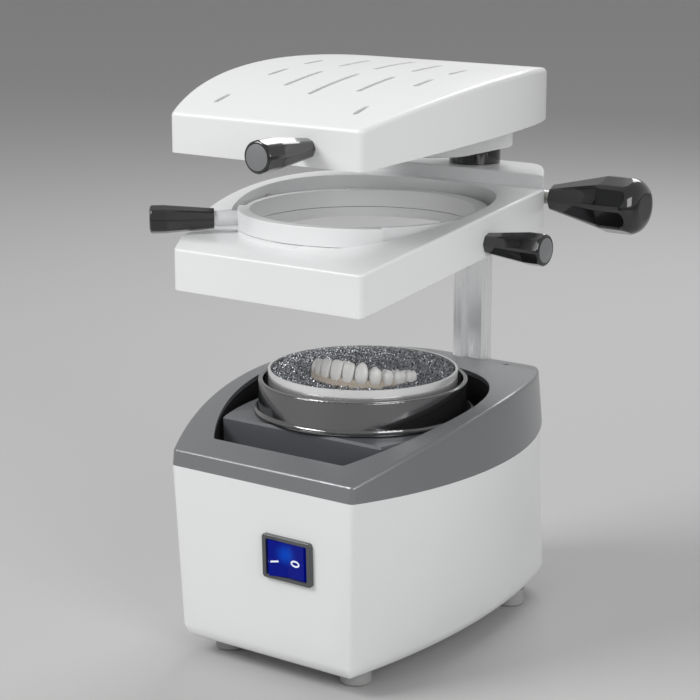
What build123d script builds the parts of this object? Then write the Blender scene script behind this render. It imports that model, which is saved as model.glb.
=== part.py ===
"""Dental vacuum former: base with vacuum table, sliding film carriage and swinging heater head.

Millimetres, +Z up, origin on the standing plane below the axis of the vacuum table.
-Y is the front of the machine and +X is the right side of someone facing it.
"""

import os
from math import atan, cos, pi, radians, sin, sqrt

from build123d import *

os.makedirs("parts", exist_ok=True)


# ---------------------------------------------------------------- driving dimensions
# Barrel plan that base, carriage and head share: bowed sides, straight front and back
SIDE_RADIUS = 205.0
FRONT_CORNER = 4.0
REAR_CORNER = 18.0
BODY_BACK = 130.0

# Base: drafted housing below the seam, arched cover above it
BASE_HALF_WIDTH = 85.0
BASE_FRONT = 95.0
BASE_BOTTOM = 10.0
SEAM_Z = 111.6
FOOT_HALF_WIDTH = 68.0
FOOT_SIDE_RADIUS = 436.0
FOOT_FRONT = 91.9
FOOT_BACK = 126.0
BASE_WALL = 2.8
BASE_FLOOR = 3.0
BOTTOM_ROUND = 8.0
BOTTOM_BANDS = (0.0, 1.0, 3.0, 8.0)
COVER_APEX = 146.6
COVER_DRAFT = 0.085
COVER_WALL = 2.6
COVER_ROUND = 2.0
COVER_SCREW_Z = 134.0
COVER_SCREW_LENGTH = 14.0
LIP_DEPTH = 4.0
LIP_WALL = 1.8
LIP_GAP = 0.3

# Arch of the cover and the carriage, and of the head
ARCH_RADIUS = 390.0
ARCH_Y = 46.0
HEAD_ARCH_RADIUS = 438.0
HEAD_ARCH_Y = 40.0
ARCH_SPAN = 165.0

# Cut-out of the cover, well liner and vacuum table
OPENING_RADIUS = 72.0
OPENING_FRONT = 79.2
OPENING_FRONT_HALF = 44.5
OPENING_CORNER = 3.0
LINER_FLOOR_Z = 109.0
LINER_WALL = 1.6
BLOCK_RADIUS = 65.0
BLOCK_FRONT = 59.0
BLOCK_FRONT_HALF = 54.8
BLOCK_BOTTOM_Z = 103.0
BLOCK_TOP_Z = 133.0
BLOCK_CHAMFER = 1.4
TABLE_RADIUS = 59.5
TABLE_WALL = 2.7
TABLE_TOP_Z = 152.0
TABLE_FLARE = 2.2
GASKET_THICKNESS = 0.8
SUCTION_RADIUS = 17.0
DISH_RADIUS = 48.0
DISH_DEPTH = 3.0
PLATE_THICKNESS = 2.0

# Granule cup with its granules and the dental cast
CUP_RADIUS = 53.9
CUP_WALL = 1.4
CUP_RIM_Z = 157.5
GRANULE_TOP_Z = 155.2
GRANULE_GAP = 0.1
CAST_CENTRE = (6.7, -14.4)
CAST_HEIGHT = 156.0
CAST_TURN = -10.0
CAST_TILT = -6.0
CAST_HALF_WIDTH = 25.0
CAST_DEPTH = 19.5
CAST_LEG = 21.0
GUM_THICKNESS = 10.0
GUM_BELOW = 7.0
GUM_ABOVE = 2.4
GUM_TAPER = 1.4
TOOTH_HEIGHT = 10.4
# width along the arch and depth across it of each tooth, from the middle to one end
TEETH = ((7.8, 5.0), (6.9, 5.0), (7.4, 6.2), (6.9, 7.0), (6.7, 7.2), (9.2, 8.6), (8.8, 8.4))

# Feet and floor plate
FOOT_RADIUS = 8.8
FOOT_FRONT_PLACE = (44.0, -67.0)
FOOT_REAR_PLACE = (47.0, 87.0)
SCREW_RADIUS = 2.0
SCREW_HEAD_RADIUS = 3.8
SCREW_HEAD_HEIGHT = 2.4
FLOOR_PLATE = 2.0

# Vacuum motor below the table
MOTOR_RADIUS = 32.0
MOTOR_BOTTOM_Z = 24.0
MOTOR_TOP_Z = 62.0
MOTOR_WALL = 1.6
SHAFT_RADIUS = 4.0
BEARING_GAP = 0.05
CHAMBER_RADIUS = 50.0
CHAMBER_WALL = 1.6
CHAMBER_TOP_Z = 100.0
IMPELLER_RADIUS = 44.0
IMPELLER_DISC = 1.6
BLADE_HEIGHT = 17.0
BLADE_COUNT = 7

# Switch on the front face and power inlet on the back face
SWITCH_X = 18.75
SWITCH_Z = 72.6
BEZEL_WIDTH = 33.3
BEZEL_HEIGHT = 25.0
BEZEL_PROUD = 2.2
SWITCH_BODY_WIDTH = 30.0
SWITCH_BODY_HEIGHT = 22.0
SWITCH_BODY_DEPTH = 22.0
ROCKER_WIDTH = 26.8
ROCKER_HEIGHT = 19.6
ROCKER_GAP = 0.35
ROCKER_TILT = 7.0
TRUNNION_RADIUS = 1.5
TRUNNION_LENGTH = 0.85
ROCKER_AXIS_DEPTH = -2.6
INLET_X = 26.0
INLET_Z = 44.0
INLET_WIDTH = 31.0
INLET_HEIGHT = 24.0
INLET_PROUD = 2.4
INLET_BODY_DEPTH = 18.0
SOCKET_DEPTH = 15.0
FUSE_X = -32.0
FUSE_RADIUS = 6.0
CABLE_RADIUS = 2.4
CABLE_BEND = 5.0
CABLE_X = 44.0
CABLE_Z = 19.0
CABLE_GAP = 0.3

# Column, pivot and carriage guide
COLUMN_Y = 114.0
COLUMN_WIDTH = 17.5
COLUMN_DEPTH = 15.4
RAIL_WIDTH = 5.5
RAIL_PROUD = 4.1
COLUMN_BOTTOM_Z = 22.0
COLUMN_TOP_Z = 261.7
COLUMN_FOOT_HEIGHT = 28.0
COLUMN_FOOT_WIDTH = 24.0
COLUMN_BASE_WIDTH = 46.0
COLUMN_FOOT_WALL = 11.0
COLUMN_FOOT_BACK = 117.5
COLUMN_SCREW_HEIGHTS = (29.0, 43.0)
COLUMN_GAP = 0.5
COLLAR_RADIUS = 15.35
COLLAR_HEIGHT = 10.0
PIN_RADIUS = 7.0
PIN_SPIGOT_RADIUS = 3.0
PIN_SPIGOT_DEPTH = 18.0
PIN_END_GAP = 1.0
BUSH_WALL = 2.4
RUNNING_GAP = 0.08
MOVE_GAP = 0.3

# Film carriage
UPPER_HALF_WIDTH = 83.0
UPPER_FRONT = 89.0
CARRIAGE_THICKNESS = 22.6
CARRIAGE_ROUND = 1.5
CARRIAGE_STOCK = 81.4
BUSH_END_GAP = 1.0
BUSH_LENGTH = 31.4
BACK_WALL_Y = 90.0
BACK_WALL_RISE = 5.2
SEAT_DEPTH = 22.5
POCKET_RADIUS = 74.0
BORE_RADIUS = 62.9
LEVER_POCKET_DEPTH = 2.5
LEVER_POCKET_FROM = -149.0
LEVER_POCKET_TO = -83.0
GASKET_INNER = 64.0
GASKET_OUTER = 68.0

# Clamp ring with its ramps, bayonet pins and lever
RING_RADIUS = 70.0
RING_INNER = 62.9
RING_WALL = 3.1
RING_HEIGHT = 10.1
SKIRT_FROM = 30.0
SKIRT_TO = 134.4
RAMP_FROM = 138.0
RAMP_TO = 208.0
RAMP_LOW = 1.2
RAMP_HIGH = 7.4
RAMP_WIDTH = 3.0
BAYONET_ANGLE = 174.6
BAYONET_RADIUS = 2.5
BAYONET_RISE = 7.5
BAYONET_TIP = 66.9
BAYONET_SEAT = 5.0
LEVER_ANGLE = -138.5
LEVER_ROD_RADIUS = 4.15
LEVER_KNOB_START = 83.0
LEVER_KNOB_LENGTH = 35.5
LEVER_NECK = 5.7
LEVER_GRIP = 7.9

# Side handle, head knob and lock knob
HANDLE_DROP = 0.9
HANDLE_LENGTH = 35.5
HANDLE_NECK = 5.65
HANDLE_GRIP = 8.75
HEAD_KNOB_X = 29.0
HEAD_KNOB_DROP = 0.3
HEAD_KNOB_LENGTH = 41.0
HEAD_KNOB_NECK = 5.35
HEAD_KNOB_GRIP = 8.65
STUD_RADIUS = 3.0
STUD_DEPTH = 18.0
KNOB_FLATS = 0.955
KNOB_END = 0.9
LOCK_RISE = 5.9
LOCK_KNOB_START = 55.5
LOCK_KNOB_LENGTH = 60.0
LOCK_NECK = 7.8
LOCK_GRIP = 16.4
LOCK_SPINDLE_RADIUS = 4.0
LOCK_SHOE_LENGTH = 2.0
LOCK_TAPER = 36.5
LOCK_DOME = 10.0

# Heater head
HEAD_HEIGHT = 31.1
HEAD_UNDER_RADIUS = 845.0
HEAD_WALL = 2.5
HEAD_ROUND = 3.0
HEAD_BOSS_HEIGHT = 22.8
HEAD_BOSS_HALF = 25.0
HEAD_BOSS_NOSE_Y = 70.0
HEAD_BOSS_BACK = 127.0
HEAD_BOSS_CORNER = 15.0
PAN_RISE = 2.2
PAN_THICKNESS = 1.5
PAN_GAP = 0.3
PAN_POST_RADIUS = 3.6
PAN_POST_PLACES = ((30.0, -76.0), (-30.0, -76.0), (34.0, 108.0), (-34.0, 108.0))
PAN_SCREW_RADIUS = 1.5
PAN_SCREW_LENGTH = 6.0
BUSH_RADIUS = 9.0
HEATER_RADIUS = 43.0
REFLECTOR_DEPTH = 10.0
REFLECTOR_WALL = 0.8
REFLECTOR_FLANGE = 4.0
TILE_RADIUS = 38.0
TILE_THICKNESS = 4.0
TILE_RISE = 5.4
COIL_RADIUS = 1.5
COIL_START = 6.0
COIL_RISE = 3.8
COIL_PITCH = 7.0
COIL_TURNS = 4
SLOT_WIDTH = 3.0
# centre line x, front end y and back end y of each vent slot on one half of the head
SLOTS = (
    (46.0, -72.0, -59.0),
    (0.0, -49.5, -3.5),
    (24.5, -39.0, -4.0),
    (49.0, -22.0, -4.0),
    (0.0, 10.5, 51.0),
    (24.5, 11.5, 41.5),
    (49.0, 11.0, 29.0),
)

# ---------------------------------------------------------------- derived sizes
FLOOR_TOP_Z = BASE_BOTTOM + BASE_FLOOR
PLATE_TOP_Z = FLOOR_TOP_Z + FLOOR_PLATE
TABLE_BOTTOM_Z = BLOCK_TOP_Z + GASKET_THICKNESS
SIEVE_TOP_Z = BLOCK_TOP_Z + PLATE_THICKNESS
CUP_BOTTOM_Z = SIEVE_TOP_Z + MOVE_GAP
BACK_WALL_TOP_Z = COLUMN_TOP_Z - MOVE_GAP
CARRIAGE_APEX = BACK_WALL_TOP_Z - BACK_WALL_RISE
CARRIAGE_UNDER_APEX = CARRIAGE_APEX - CARRIAGE_THICKNESS
CARRIAGE_LOW_Z = BACK_WALL_TOP_Z - CARRIAGE_STOCK
BUSH_TOP_Z = BACK_WALL_TOP_Z - BUSH_END_GAP
BUSH_BOTTOM_Z = BUSH_TOP_Z - BUSH_LENGTH
SEAT_Z = BACK_WALL_TOP_Z - SEAT_DEPTH
LEVER_POCKET_Z = SEAT_Z - LEVER_POCKET_DEPTH
HANDLE_Z = SEAT_Z - HANDLE_DROP
LOCK_Z = SEAT_Z + LOCK_RISE
BAYONET_Z = SEAT_Z + BAYONET_RISE
RING_BOTTOM_Z = SEAT_Z + MOVE_GAP
RING_TOP_Z = RING_BOTTOM_Z + RING_HEIGHT
LEVER_Z = RING_BOTTOM_Z + RING_HEIGHT / 2
HEAD_BOSS_Z = COLUMN_TOP_Z + COLLAR_HEIGHT + MOVE_GAP
HEAD_UNDER_APEX = HEAD_BOSS_Z + HEAD_BOSS_HEIGHT
HEAD_APEX = HEAD_UNDER_APEX + HEAD_HEIGHT
HEAD_KNOB_Z = HEAD_UNDER_APEX - HEAD_KNOB_DROP
PAN_Z = HEAD_UNDER_APEX + PAN_RISE
PAN_TOP_Z = PAN_Z + PAN_THICKNESS
PIN_TOP_Z = PAN_Z - PIN_END_GAP
TILE_Z = PAN_Z + TILE_RISE
COIL_Z = PAN_Z + COIL_RISE
COLUMN_FRONT = COLUMN_Y - COLUMN_DEPTH / 2
COLUMN_BACK = COLUMN_Y + COLUMN_DEPTH / 2
FRONT_LEAN = atan((BASE_FRONT - FOOT_FRONT) / (SEAM_Z - BASE_BOTTOM))
BACK_LEAN = atan((BODY_BACK - FOOT_BACK) / (SEAM_Z - BASE_BOTTOM))


# ---------------------------------------------------------------- shared shapes
def save(part, name):
    """Label a finished piece and write its STEP file."""
    part.label = name
    export_step(part, f"parts/{name}.step")


def plan_face(height, half_width, front, back, inset=0.0, bow=SIDE_RADIUS):
    """Barrel plan at a height, drawn in from its edge all round by inset."""
    radius = bow - inset
    half = half_width - inset
    front_y = inset - front
    back_y = back - inset
    front_x = half - radius + sqrt(radius**2 - front_y**2)
    back_x = half - radius + sqrt(radius**2 - back_y**2)
    with BuildSketch(Plane.XY.offset(height)) as plan:
        with BuildLine():
            Line((-front_x, front_y), (front_x, front_y))
            ThreePointArc((front_x, front_y), (half, 0), (back_x, back_y))
            Line((back_x, back_y), (-back_x, back_y))
            ThreePointArc((-back_x, back_y), (-half, 0), (-front_x, front_y))
        make_face()
        fillet(plan.vertices().group_by(Axis.Y)[0], max(FRONT_CORNER - inset, 1.0))
        fillet(plan.vertices().group_by(Axis.Y)[-1], REAR_CORNER - inset)
    return plan.sketch


def base_plan(height, inset=0.0):
    """Plan of the base at a height: the walls draw in towards the feet."""
    rise = (height - BASE_BOTTOM) / (SEAM_Z - BASE_BOTTOM)
    half = FOOT_HALF_WIDTH + (BASE_HALF_WIDTH - FOOT_HALF_WIDTH) * rise
    front = FOOT_FRONT + (BASE_FRONT - FOOT_FRONT) * rise
    back = FOOT_BACK + (BODY_BACK - FOOT_BACK) * rise
    curvature = 1 / FOOT_SIDE_RADIUS + (1 / SIDE_RADIUS - 1 / FOOT_SIDE_RADIUS) * rise
    return plan_face(height, half, front, back, inset, 1 / curvature)


def bottom_inset(rise):
    """How far the rounding along the bottom draws the wall in at a height above the bottom."""
    return BOTTOM_ROUND - sqrt(BOTTOM_ROUND**2 - (BOTTOM_ROUND - rise) ** 2)


def cover_plan(height, inset=0.0):
    """Plan of the cover at a height above the seam: the walls draw in upwards."""
    draft = COVER_DRAFT * (height - SEAM_Z)
    return plan_face(height, BASE_HALF_WIDTH, BASE_FRONT, BODY_BACK, inset + draft)


def upper_plan(height, inset=0.0):
    """Plan of the carriage and the head."""
    return plan_face(height, UPPER_HALF_WIDTH, UPPER_FRONT, BODY_BACK, inset)


def under_arch(apex, floor, radius=ARCH_RADIUS, centre=ARCH_Y):
    """Block across the whole machine, level below and arched from front to back on top."""
    end_z = apex - radius + sqrt(radius**2 - ARCH_SPAN**2)
    with BuildPart() as block:
        with BuildSketch(Plane.YZ):
            with BuildLine():
                ThreePointArc((centre - ARCH_SPAN, end_z), (centre, apex), (centre + ARCH_SPAN, end_z))
                Line((centre + ARCH_SPAN, end_z), (centre + ARCH_SPAN, floor))
                Line((centre + ARCH_SPAN, floor), (centre - ARCH_SPAN, floor))
                Line((centre - ARCH_SPAN, floor), (centre - ARCH_SPAN, end_z))
            make_face()
        extrude(amount=ARCH_SPAN, both=True)
    return block.part


def cutout_face(height, radius, front, front_half, corner, inset=0.0):
    """Round at the back, bowed cheeks that run tangent from the round to a straight front."""
    with BuildSketch(Plane.XY.offset(height)) as outline:
        with BuildLine():
            Line((-front_half, -front), (front_half, -front))
            TangentArc((radius, 0), (front_half, -front), tangent=(0, -1))
            ThreePointArc((radius, 0), (0, radius), (-radius, 0))
            TangentArc((-radius, 0), (-front_half, -front), tangent=(0, -1))
        make_face()
        fillet(outline.vertices().group_by(Axis.Y)[0], corner)
        if inset != 0:
            offset(amount=-inset, kind=Kind.INTERSECTION)
    return outline.sketch


def opening_face(height, inset=0.0):
    """Cut-out of the base cover."""
    return cutout_face(height, OPENING_RADIUS, OPENING_FRONT, OPENING_FRONT_HALF, OPENING_CORNER, inset)


def block_face(height, inset=0.0):
    """Plan of the table block, which follows the cut-out with a gap to it."""
    return cutout_face(height, BLOCK_RADIUS, BLOCK_FRONT, BLOCK_FRONT_HALF, 1.5, inset)


def column_face(height, growth=0.0):
    """Section of the column: a flat bar with a rail standing proud at its front left."""
    half = COLUMN_WIDTH / 2
    with BuildSketch(Plane.XY.offset(height)) as section:
        with BuildLine():
            Polyline(
                (half, COLUMN_BACK),
                (-half, COLUMN_BACK),
                (-half, COLUMN_FRONT),
                (RAIL_WIDTH - half, COLUMN_FRONT),
                (RAIL_WIDTH - half, COLUMN_FRONT + RAIL_PROUD),
                (half, COLUMN_FRONT + RAIL_PROUD),
                close=True,
            )
        make_face()
        if growth > 0:
            offset(amount=growth, kind=Kind.INTERSECTION)
    return section.sketch


def radial_plane(angle, distance, height):
    """Plane square to a radius of the table axis, facing outwards."""
    turn = radians(angle)
    out = Vector(cos(turn), sin(turn), 0)
    return Plane(origin=out * distance + Vector(0, 0, height), x_dir=(-sin(turn), cos(turn), 0), z_dir=out)


def faceted_knob(plane, length, neck, grip, taper, dome, bore_depth):
    """Knob on a plane: a cone from neck to grip, a straight end rounded by dome, eight flats."""
    side = Plane(origin=plane.origin, x_dir=plane.x_dir, z_dir=-plane.y_dir)
    with BuildPart() as knob:
        with BuildSketch(side):
            with BuildLine():
                Polyline((0, length), (0, 0), (neck, 0), (grip, taper), (grip, length - dome))
                ThreePointArc(
                    (grip, length - dome),
                    (grip - dome * KNOB_END * (1 - cos(pi / 4)), length - dome * (1 - sin(pi / 4))),
                    (grip - dome * KNOB_END, length),
                )
                Line((grip - dome * KNOB_END, length), (0, length))
            make_face()
        revolve(axis=Axis(plane.origin, plane.z_dir))
        with BuildPart(mode=Mode.PRIVATE) as flats:
            with BuildSketch(plane):
                RegularPolygon(radius=neck * KNOB_FLATS, side_count=8, major_radius=False)
            with BuildSketch(plane.offset(taper)):
                RegularPolygon(radius=grip * KNOB_FLATS, side_count=8, major_radius=False)
            loft()
            with BuildSketch(plane.offset(taper)):
                RegularPolygon(radius=grip * KNOB_FLATS, side_count=8, major_radius=False)
            extrude(amount=length - taper)
        add(flats.part, mode=Mode.INTERSECT)
        with BuildSketch(plane):
            Circle(STUD_RADIUS)
        extrude(amount=bore_depth, mode=Mode.SUBTRACT)
    return knob.part


def stepped_bar(plane, steps):
    """Round bar along a plane's normal, given as (start, end, radius) steps."""
    with BuildPart() as bar:
        for start, end, radius in steps:
            with BuildSketch(plane.offset(start)):
                Circle(radius)
            extrude(amount=end - start)
    return bar.part


def sector_face(height, inner, outer, start, end):
    """Part of a ring round the table axis, between two angles."""
    first = Vector(cos(radians(start)), sin(radians(start)))
    last = Vector(cos(radians(end)), sin(radians(end)))
    with BuildSketch(Plane.XY.offset(height)) as sector:
        with BuildLine():
            CenterArc((0, 0), outer, start, end - start)
            CenterArc((0, 0), inner, start, end - start)
            Line(first * inner, first * outer)
            Line(last * inner, last * outer)
        make_face()
    return sector.sketch


def disc_ring(low, high, outer, inner=0.0):
    """Disc or ring round the table axis between two heights."""
    with BuildPart() as ring:
        with BuildSketch(Plane.XY.offset(low)):
            Circle(outer)
            if inner > 0:
                Circle(inner, mode=Mode.SUBTRACT)
        extrude(amount=high - low)
    return ring.part


# ---------------------------------------------------------------- base housing
# White moulded shell: bowed sides that draw in towards the feet, rounded along the bottom.
switch_wall_y = -(FOOT_FRONT + (SWITCH_Z - BASE_BOTTOM) * (BASE_FRONT - FOOT_FRONT) / (SEAM_Z - BASE_BOTTOM))
inlet_wall_y = FOOT_BACK + (INLET_Z - BASE_BOTTOM) * (BODY_BACK - FOOT_BACK) / (SEAM_Z - BASE_BOTTOM)
switch_plane = Plane(
    origin=(SWITCH_X, switch_wall_y, SWITCH_Z),
    x_dir=(1, 0, 0),
    z_dir=(0, -cos(FRONT_LEAN), -sin(FRONT_LEAN)),
)
inlet_plane = Plane(
    origin=(INLET_X, inlet_wall_y, INLET_Z),
    x_dir=(-1, 0, 0),
    z_dir=(0, cos(BACK_LEAN), -sin(BACK_LEAN)),
)
foot_places = [
    (FOOT_FRONT_PLACE[0], FOOT_FRONT_PLACE[1]),
    (-FOOT_FRONT_PLACE[0], FOOT_FRONT_PLACE[1]),
    (FOOT_REAR_PLACE[0], FOOT_REAR_PLACE[1]),
    (-FOOT_REAR_PLACE[0], FOOT_REAR_PLACE[1]),
]

with BuildPart() as base_housing:
    loft(sections=[base_plan(BASE_BOTTOM + BOTTOM_ROUND), base_plan(SEAM_Z)], ruled=True)
    for low, high in zip(BOTTOM_BANDS, BOTTOM_BANDS[1:]):
        loft(
            sections=[
                base_plan(BASE_BOTTOM + low, bottom_inset(low)),
                base_plan(BASE_BOTTOM + high, bottom_inset(high)),
            ],
            ruled=True,
        )
    loft(
        sections=[
            base_plan(FLOOR_TOP_Z, BASE_WALL + BOTTOM_ROUND / 2),
            base_plan(FLOOR_TOP_Z + BOTTOM_ROUND, BASE_WALL),
        ],
        ruled=True,
        mode=Mode.SUBTRACT,
    )
    loft(
        sections=[base_plan(FLOOR_TOP_Z + BOTTOM_ROUND, BASE_WALL), base_plan(SEAM_Z, BASE_WALL)],
        ruled=True,
        mode=Mode.SUBTRACT,
    )
    with BuildSketch(switch_plane):
        Rectangle(SWITCH_BODY_WIDTH + LIP_GAP, SWITCH_BODY_HEIGHT + LIP_GAP)
    extrude(amount=-3 * BASE_WALL, both=True, mode=Mode.SUBTRACT)
    with BuildSketch(inlet_plane):
        Rectangle(INLET_WIDTH - 4, INLET_HEIGHT - 4)
        with Locations((INLET_X - FUSE_X, 0)):
            Circle(FUSE_RADIUS)
    extrude(amount=-3 * BASE_WALL, both=True, mode=Mode.SUBTRACT)
    # vent slots in the floor below the motor, and the holes of the foot screws
    with BuildSketch(Plane.XY.offset(BASE_BOTTOM)):
        with GridLocations(10, 0, 7, 1):
            SlotOverall(52, 4, rotation=90)
        with Locations(*foot_places):
            Circle(SCREW_RADIUS)
    extrude(amount=BASE_FLOOR, mode=Mode.SUBTRACT)

save(base_housing.part, "base_housing")

# ---------------------------------------------------------------- base cover
# Grey arched cover with the cut-out for the table, a lip into the housing and a column hole.
cover_top_z = COVER_APEX + 4
with BuildPart() as cover_cavity:
    loft(sections=[cover_plan(SEAM_Z - 1, COVER_WALL), cover_plan(cover_top_z, COVER_WALL)], ruled=True)
    add(under_arch(COVER_APEX - COVER_WALL, 0), mode=Mode.INTERSECT)

cover_screw_places = [(29.0, 107.0), (-29.0, 107.0)]
with BuildPart() as base_cover:
    loft(sections=[cover_plan(SEAM_Z), cover_plan(cover_top_z)], ruled=True)
    add(under_arch(COVER_APEX, 0), mode=Mode.INTERSECT)
    fillet(base_cover.faces().sort_by(Axis.Z)[-1].edges(), COVER_ROUND)
    add(cover_cavity.part, mode=Mode.SUBTRACT)
    # rim that carries the lip, then the lip itself inside the housing wall
    with BuildSketch(Plane.XY.offset(SEAM_Z)):
        add(cover_plan(SEAM_Z, COVER_WALL / 2))
        add(base_plan(SEAM_Z, BASE_WALL + LIP_GAP + LIP_WALL), mode=Mode.SUBTRACT)
    extrude(amount=LIP_DEPTH / 2)
    loft(
        sections=[
            base_plan(SEAM_Z - LIP_DEPTH, BASE_WALL + LIP_GAP),
            base_plan(SEAM_Z, BASE_WALL + LIP_GAP),
        ],
        ruled=True,
    )
    loft(
        sections=[
            base_plan(SEAM_Z - LIP_DEPTH, BASE_WALL + LIP_GAP + LIP_WALL),
            base_plan(SEAM_Z, BASE_WALL + LIP_GAP + LIP_WALL),
        ],
        ruled=True,
        mode=Mode.SUBTRACT,
    )
    extrude(opening_face(SEAM_Z + LIP_DEPTH), amount=COVER_APEX - SEAM_Z, mode=Mode.SUBTRACT)
    extrude(column_face(SEAM_Z + LIP_DEPTH, COLUMN_GAP), amount=COVER_APEX - SEAM_Z, mode=Mode.SUBTRACT)
    with BuildSketch(Plane.XY.offset(SEAM_Z + LIP_DEPTH)):
        with Locations(*cover_screw_places):
            Circle(SCREW_RADIUS)
    extrude(amount=COVER_APEX - SEAM_Z, mode=Mode.SUBTRACT)

save(base_cover.part, "base_cover")

# ---------------------------------------------------------------- well liner
# Black tray below the cut-out: it closes the gap round the table block.
with BuildPart() as liner_space:
    extrude(opening_face(LINER_FLOOR_Z + LINER_WALL, -LIP_GAP), amount=COVER_APEX - LINER_FLOOR_Z)
with BuildPart() as well_liner:
    extrude(opening_face(LINER_FLOOR_Z, -LIP_GAP - LINER_WALL), amount=COVER_APEX - LINER_FLOOR_Z)
    add(under_arch(COVER_APEX - COVER_WALL - LIP_GAP, 0), mode=Mode.INTERSECT)
    add(liner_space.part, mode=Mode.SUBTRACT)
    extrude(block_face(LINER_FLOOR_Z, -MOVE_GAP), amount=LINER_WALL, mode=Mode.SUBTRACT)
save(well_liner.part, "well_liner")

# ---------------------------------------------------------------- table
with BuildPart() as table_block:
    extrude(block_face(BLOCK_BOTTOM_Z), amount=BLOCK_TOP_Z - BLOCK_BOTTOM_Z)
    with BuildSketch(Plane.XY.offset(BLOCK_TOP_Z)):
        Circle(DISH_RADIUS)
    extrude(amount=-DISH_DEPTH, mode=Mode.SUBTRACT)
    with BuildSketch(Plane.XY.offset(BLOCK_BOTTOM_Z)):
        Circle(SUCTION_RADIUS)
    extrude(amount=BLOCK_TOP_Z - BLOCK_BOTTOM_Z, mode=Mode.SUBTRACT)
    chamfer(table_block.faces().sort_by(Axis.Z)[-1].outer_wire().edges(), BLOCK_CHAMFER)
save(table_block.part, "table_block")

table_inner = TABLE_RADIUS - TABLE_WALL
save(disc_ring(BLOCK_TOP_Z, TABLE_BOTTOM_Z, TABLE_RADIUS, table_inner), "table_gasket")

with BuildPart() as table_wall:
    with BuildSketch(Plane.XZ):
        with BuildLine():
            Polyline(
                (table_inner, TABLE_BOTTOM_Z),
                (TABLE_RADIUS + TABLE_FLARE, TABLE_BOTTOM_Z),
                (TABLE_RADIUS + TABLE_FLARE, TABLE_BOTTOM_Z + 0.6),
            )
            RadiusArc(
                (TABLE_RADIUS + TABLE_FLARE, TABLE_BOTTOM_Z + 0.6),
                (TABLE_RADIUS, TABLE_BOTTOM_Z + 0.6 + TABLE_FLARE),
                TABLE_FLARE,
            )
            Polyline(
                (TABLE_RADIUS, TABLE_BOTTOM_Z + 0.6 + TABLE_FLARE),
                (TABLE_RADIUS, TABLE_TOP_Z),
                (table_inner, TABLE_TOP_Z),
                (table_inner, TABLE_BOTTOM_Z),
            )
        make_face()
    revolve(axis=Axis.Z)
    fillet(table_wall.faces().sort_by(Axis.Z)[-1].edges(), 0.9)
save(table_wall.part, "table_wall")

with BuildPart() as sieve_plate:
    with BuildSketch(Plane.XY.offset(BLOCK_TOP_Z)):
        Circle(table_inner - LIP_GAP)
        with PolarLocations(14, 6):
            Circle(2.0, mode=Mode.SUBTRACT)
        with PolarLocations(28, 12):
            Circle(2.0, mode=Mode.SUBTRACT)
        with PolarLocations(42, 18):
            Circle(2.0, mode=Mode.SUBTRACT)
        Circle(2.0, mode=Mode.SUBTRACT)
    extrude(amount=PLATE_THICKNESS)
save(sieve_plate.part, "perforated_plate")

# ---------------------------------------------------------------- granule cup and cast
cup_inner = CUP_RADIUS - CUP_WALL
with BuildPart() as granule_cup:
    add(disc_ring(CUP_BOTTOM_Z, CUP_RIM_Z, CUP_RADIUS))
    chamfer(granule_cup.faces().sort_by(Axis.Z)[0].edges(), 1.0)
    with BuildSketch(Plane.XY.offset(CUP_BOTTOM_Z + CUP_WALL)):
        Circle(cup_inner)
    extrude(amount=CUP_RIM_Z - CUP_BOTTOM_Z, mode=Mode.SUBTRACT)
    with BuildSketch(Plane.XY.offset(CUP_BOTTOM_Z)):
        with PolarLocations(21, 9):
            Circle(1.5)
        with PolarLocations(40, 16):
            Circle(1.5)
    extrude(amount=CUP_WALL, mode=Mode.SUBTRACT)
save(granule_cup.part, "granule_cup")

cast_place = (
    Location((CAST_CENTRE[0], CAST_CENTRE[1], CAST_HEIGHT), (0, 0, CAST_TURN))
    * Location((0, -CAST_DEPTH, 0), (CAST_TILT, 0, 0))
    * Location((0, CAST_DEPTH, 0))
)


def arch_face(height, inset=0.0):
    """Horseshoe of the cast: half an ellipse towards the front and two straight legs."""
    reach = GUM_THICKNESS / 2 - inset
    with BuildSketch(Plane.XY.offset(height)) as shoe:
        Ellipse(CAST_HALF_WIDTH + reach, CAST_DEPTH + reach)
        with Locations((0, CAST_LEG / 2)):
            Rectangle(2 * (CAST_HALF_WIDTH + reach), CAST_LEG)
        Ellipse(CAST_HALF_WIDTH - reach, CAST_DEPTH - reach, mode=Mode.SUBTRACT)
        with Locations((0, CAST_LEG)):
            Rectangle(2 * (CAST_HALF_WIDTH - reach), 2 * CAST_LEG, mode=Mode.SUBTRACT)
            with Locations((0, CAST_DEPTH)):
                Rectangle(4 * CAST_HALF_WIDTH, 2 * CAST_DEPTH, mode=Mode.SUBTRACT)
    return shoe.sketch


cast_gum = cast_place * loft(sections=[arch_face(-GUM_BELOW), arch_face(GUM_ABOVE, GUM_TAPER)], ruled=True)
save(cast_gum, "cast_gum")

# Each tooth stands on the centre line of the arch, side by side from the middle outwards
with BuildLine() as arch_line:
    EllipticalCenterArc((0, 0), CAST_HALF_WIDTH, CAST_DEPTH, start_angle=270, arc_size=90)
    Line((CAST_HALF_WIDTH, 0), (CAST_HALF_WIDTH, CAST_LEG))
half_arch = arch_line.wires()[0]
with BuildPart() as cast_teeth:
    reached = 0.0
    for width, depth in TEETH:
        share = (reached + width / 2) / half_arch.length
        reached += width
        place = half_arch @ share
        along = half_arch % share
        for side in (1, -1):
            foot = Plane(
                origin=(side * place.X, place.Y, GUM_ABOVE),
                x_dir=(side * along.X, along.Y, 0),
                z_dir=(0, 0, 1),
            )
            with BuildSketch(foot):
                RectangleRounded(width * 0.8, depth, 1.8)
            with BuildSketch(foot.offset(TOOTH_HEIGHT * 0.55)):
                RectangleRounded(width * 0.9, depth * 1.06, 1.8)
            with BuildSketch(foot.offset(TOOTH_HEIGHT)):
                RectangleRounded(width * 0.8, depth * 0.6, 1.2)
            loft()
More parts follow.
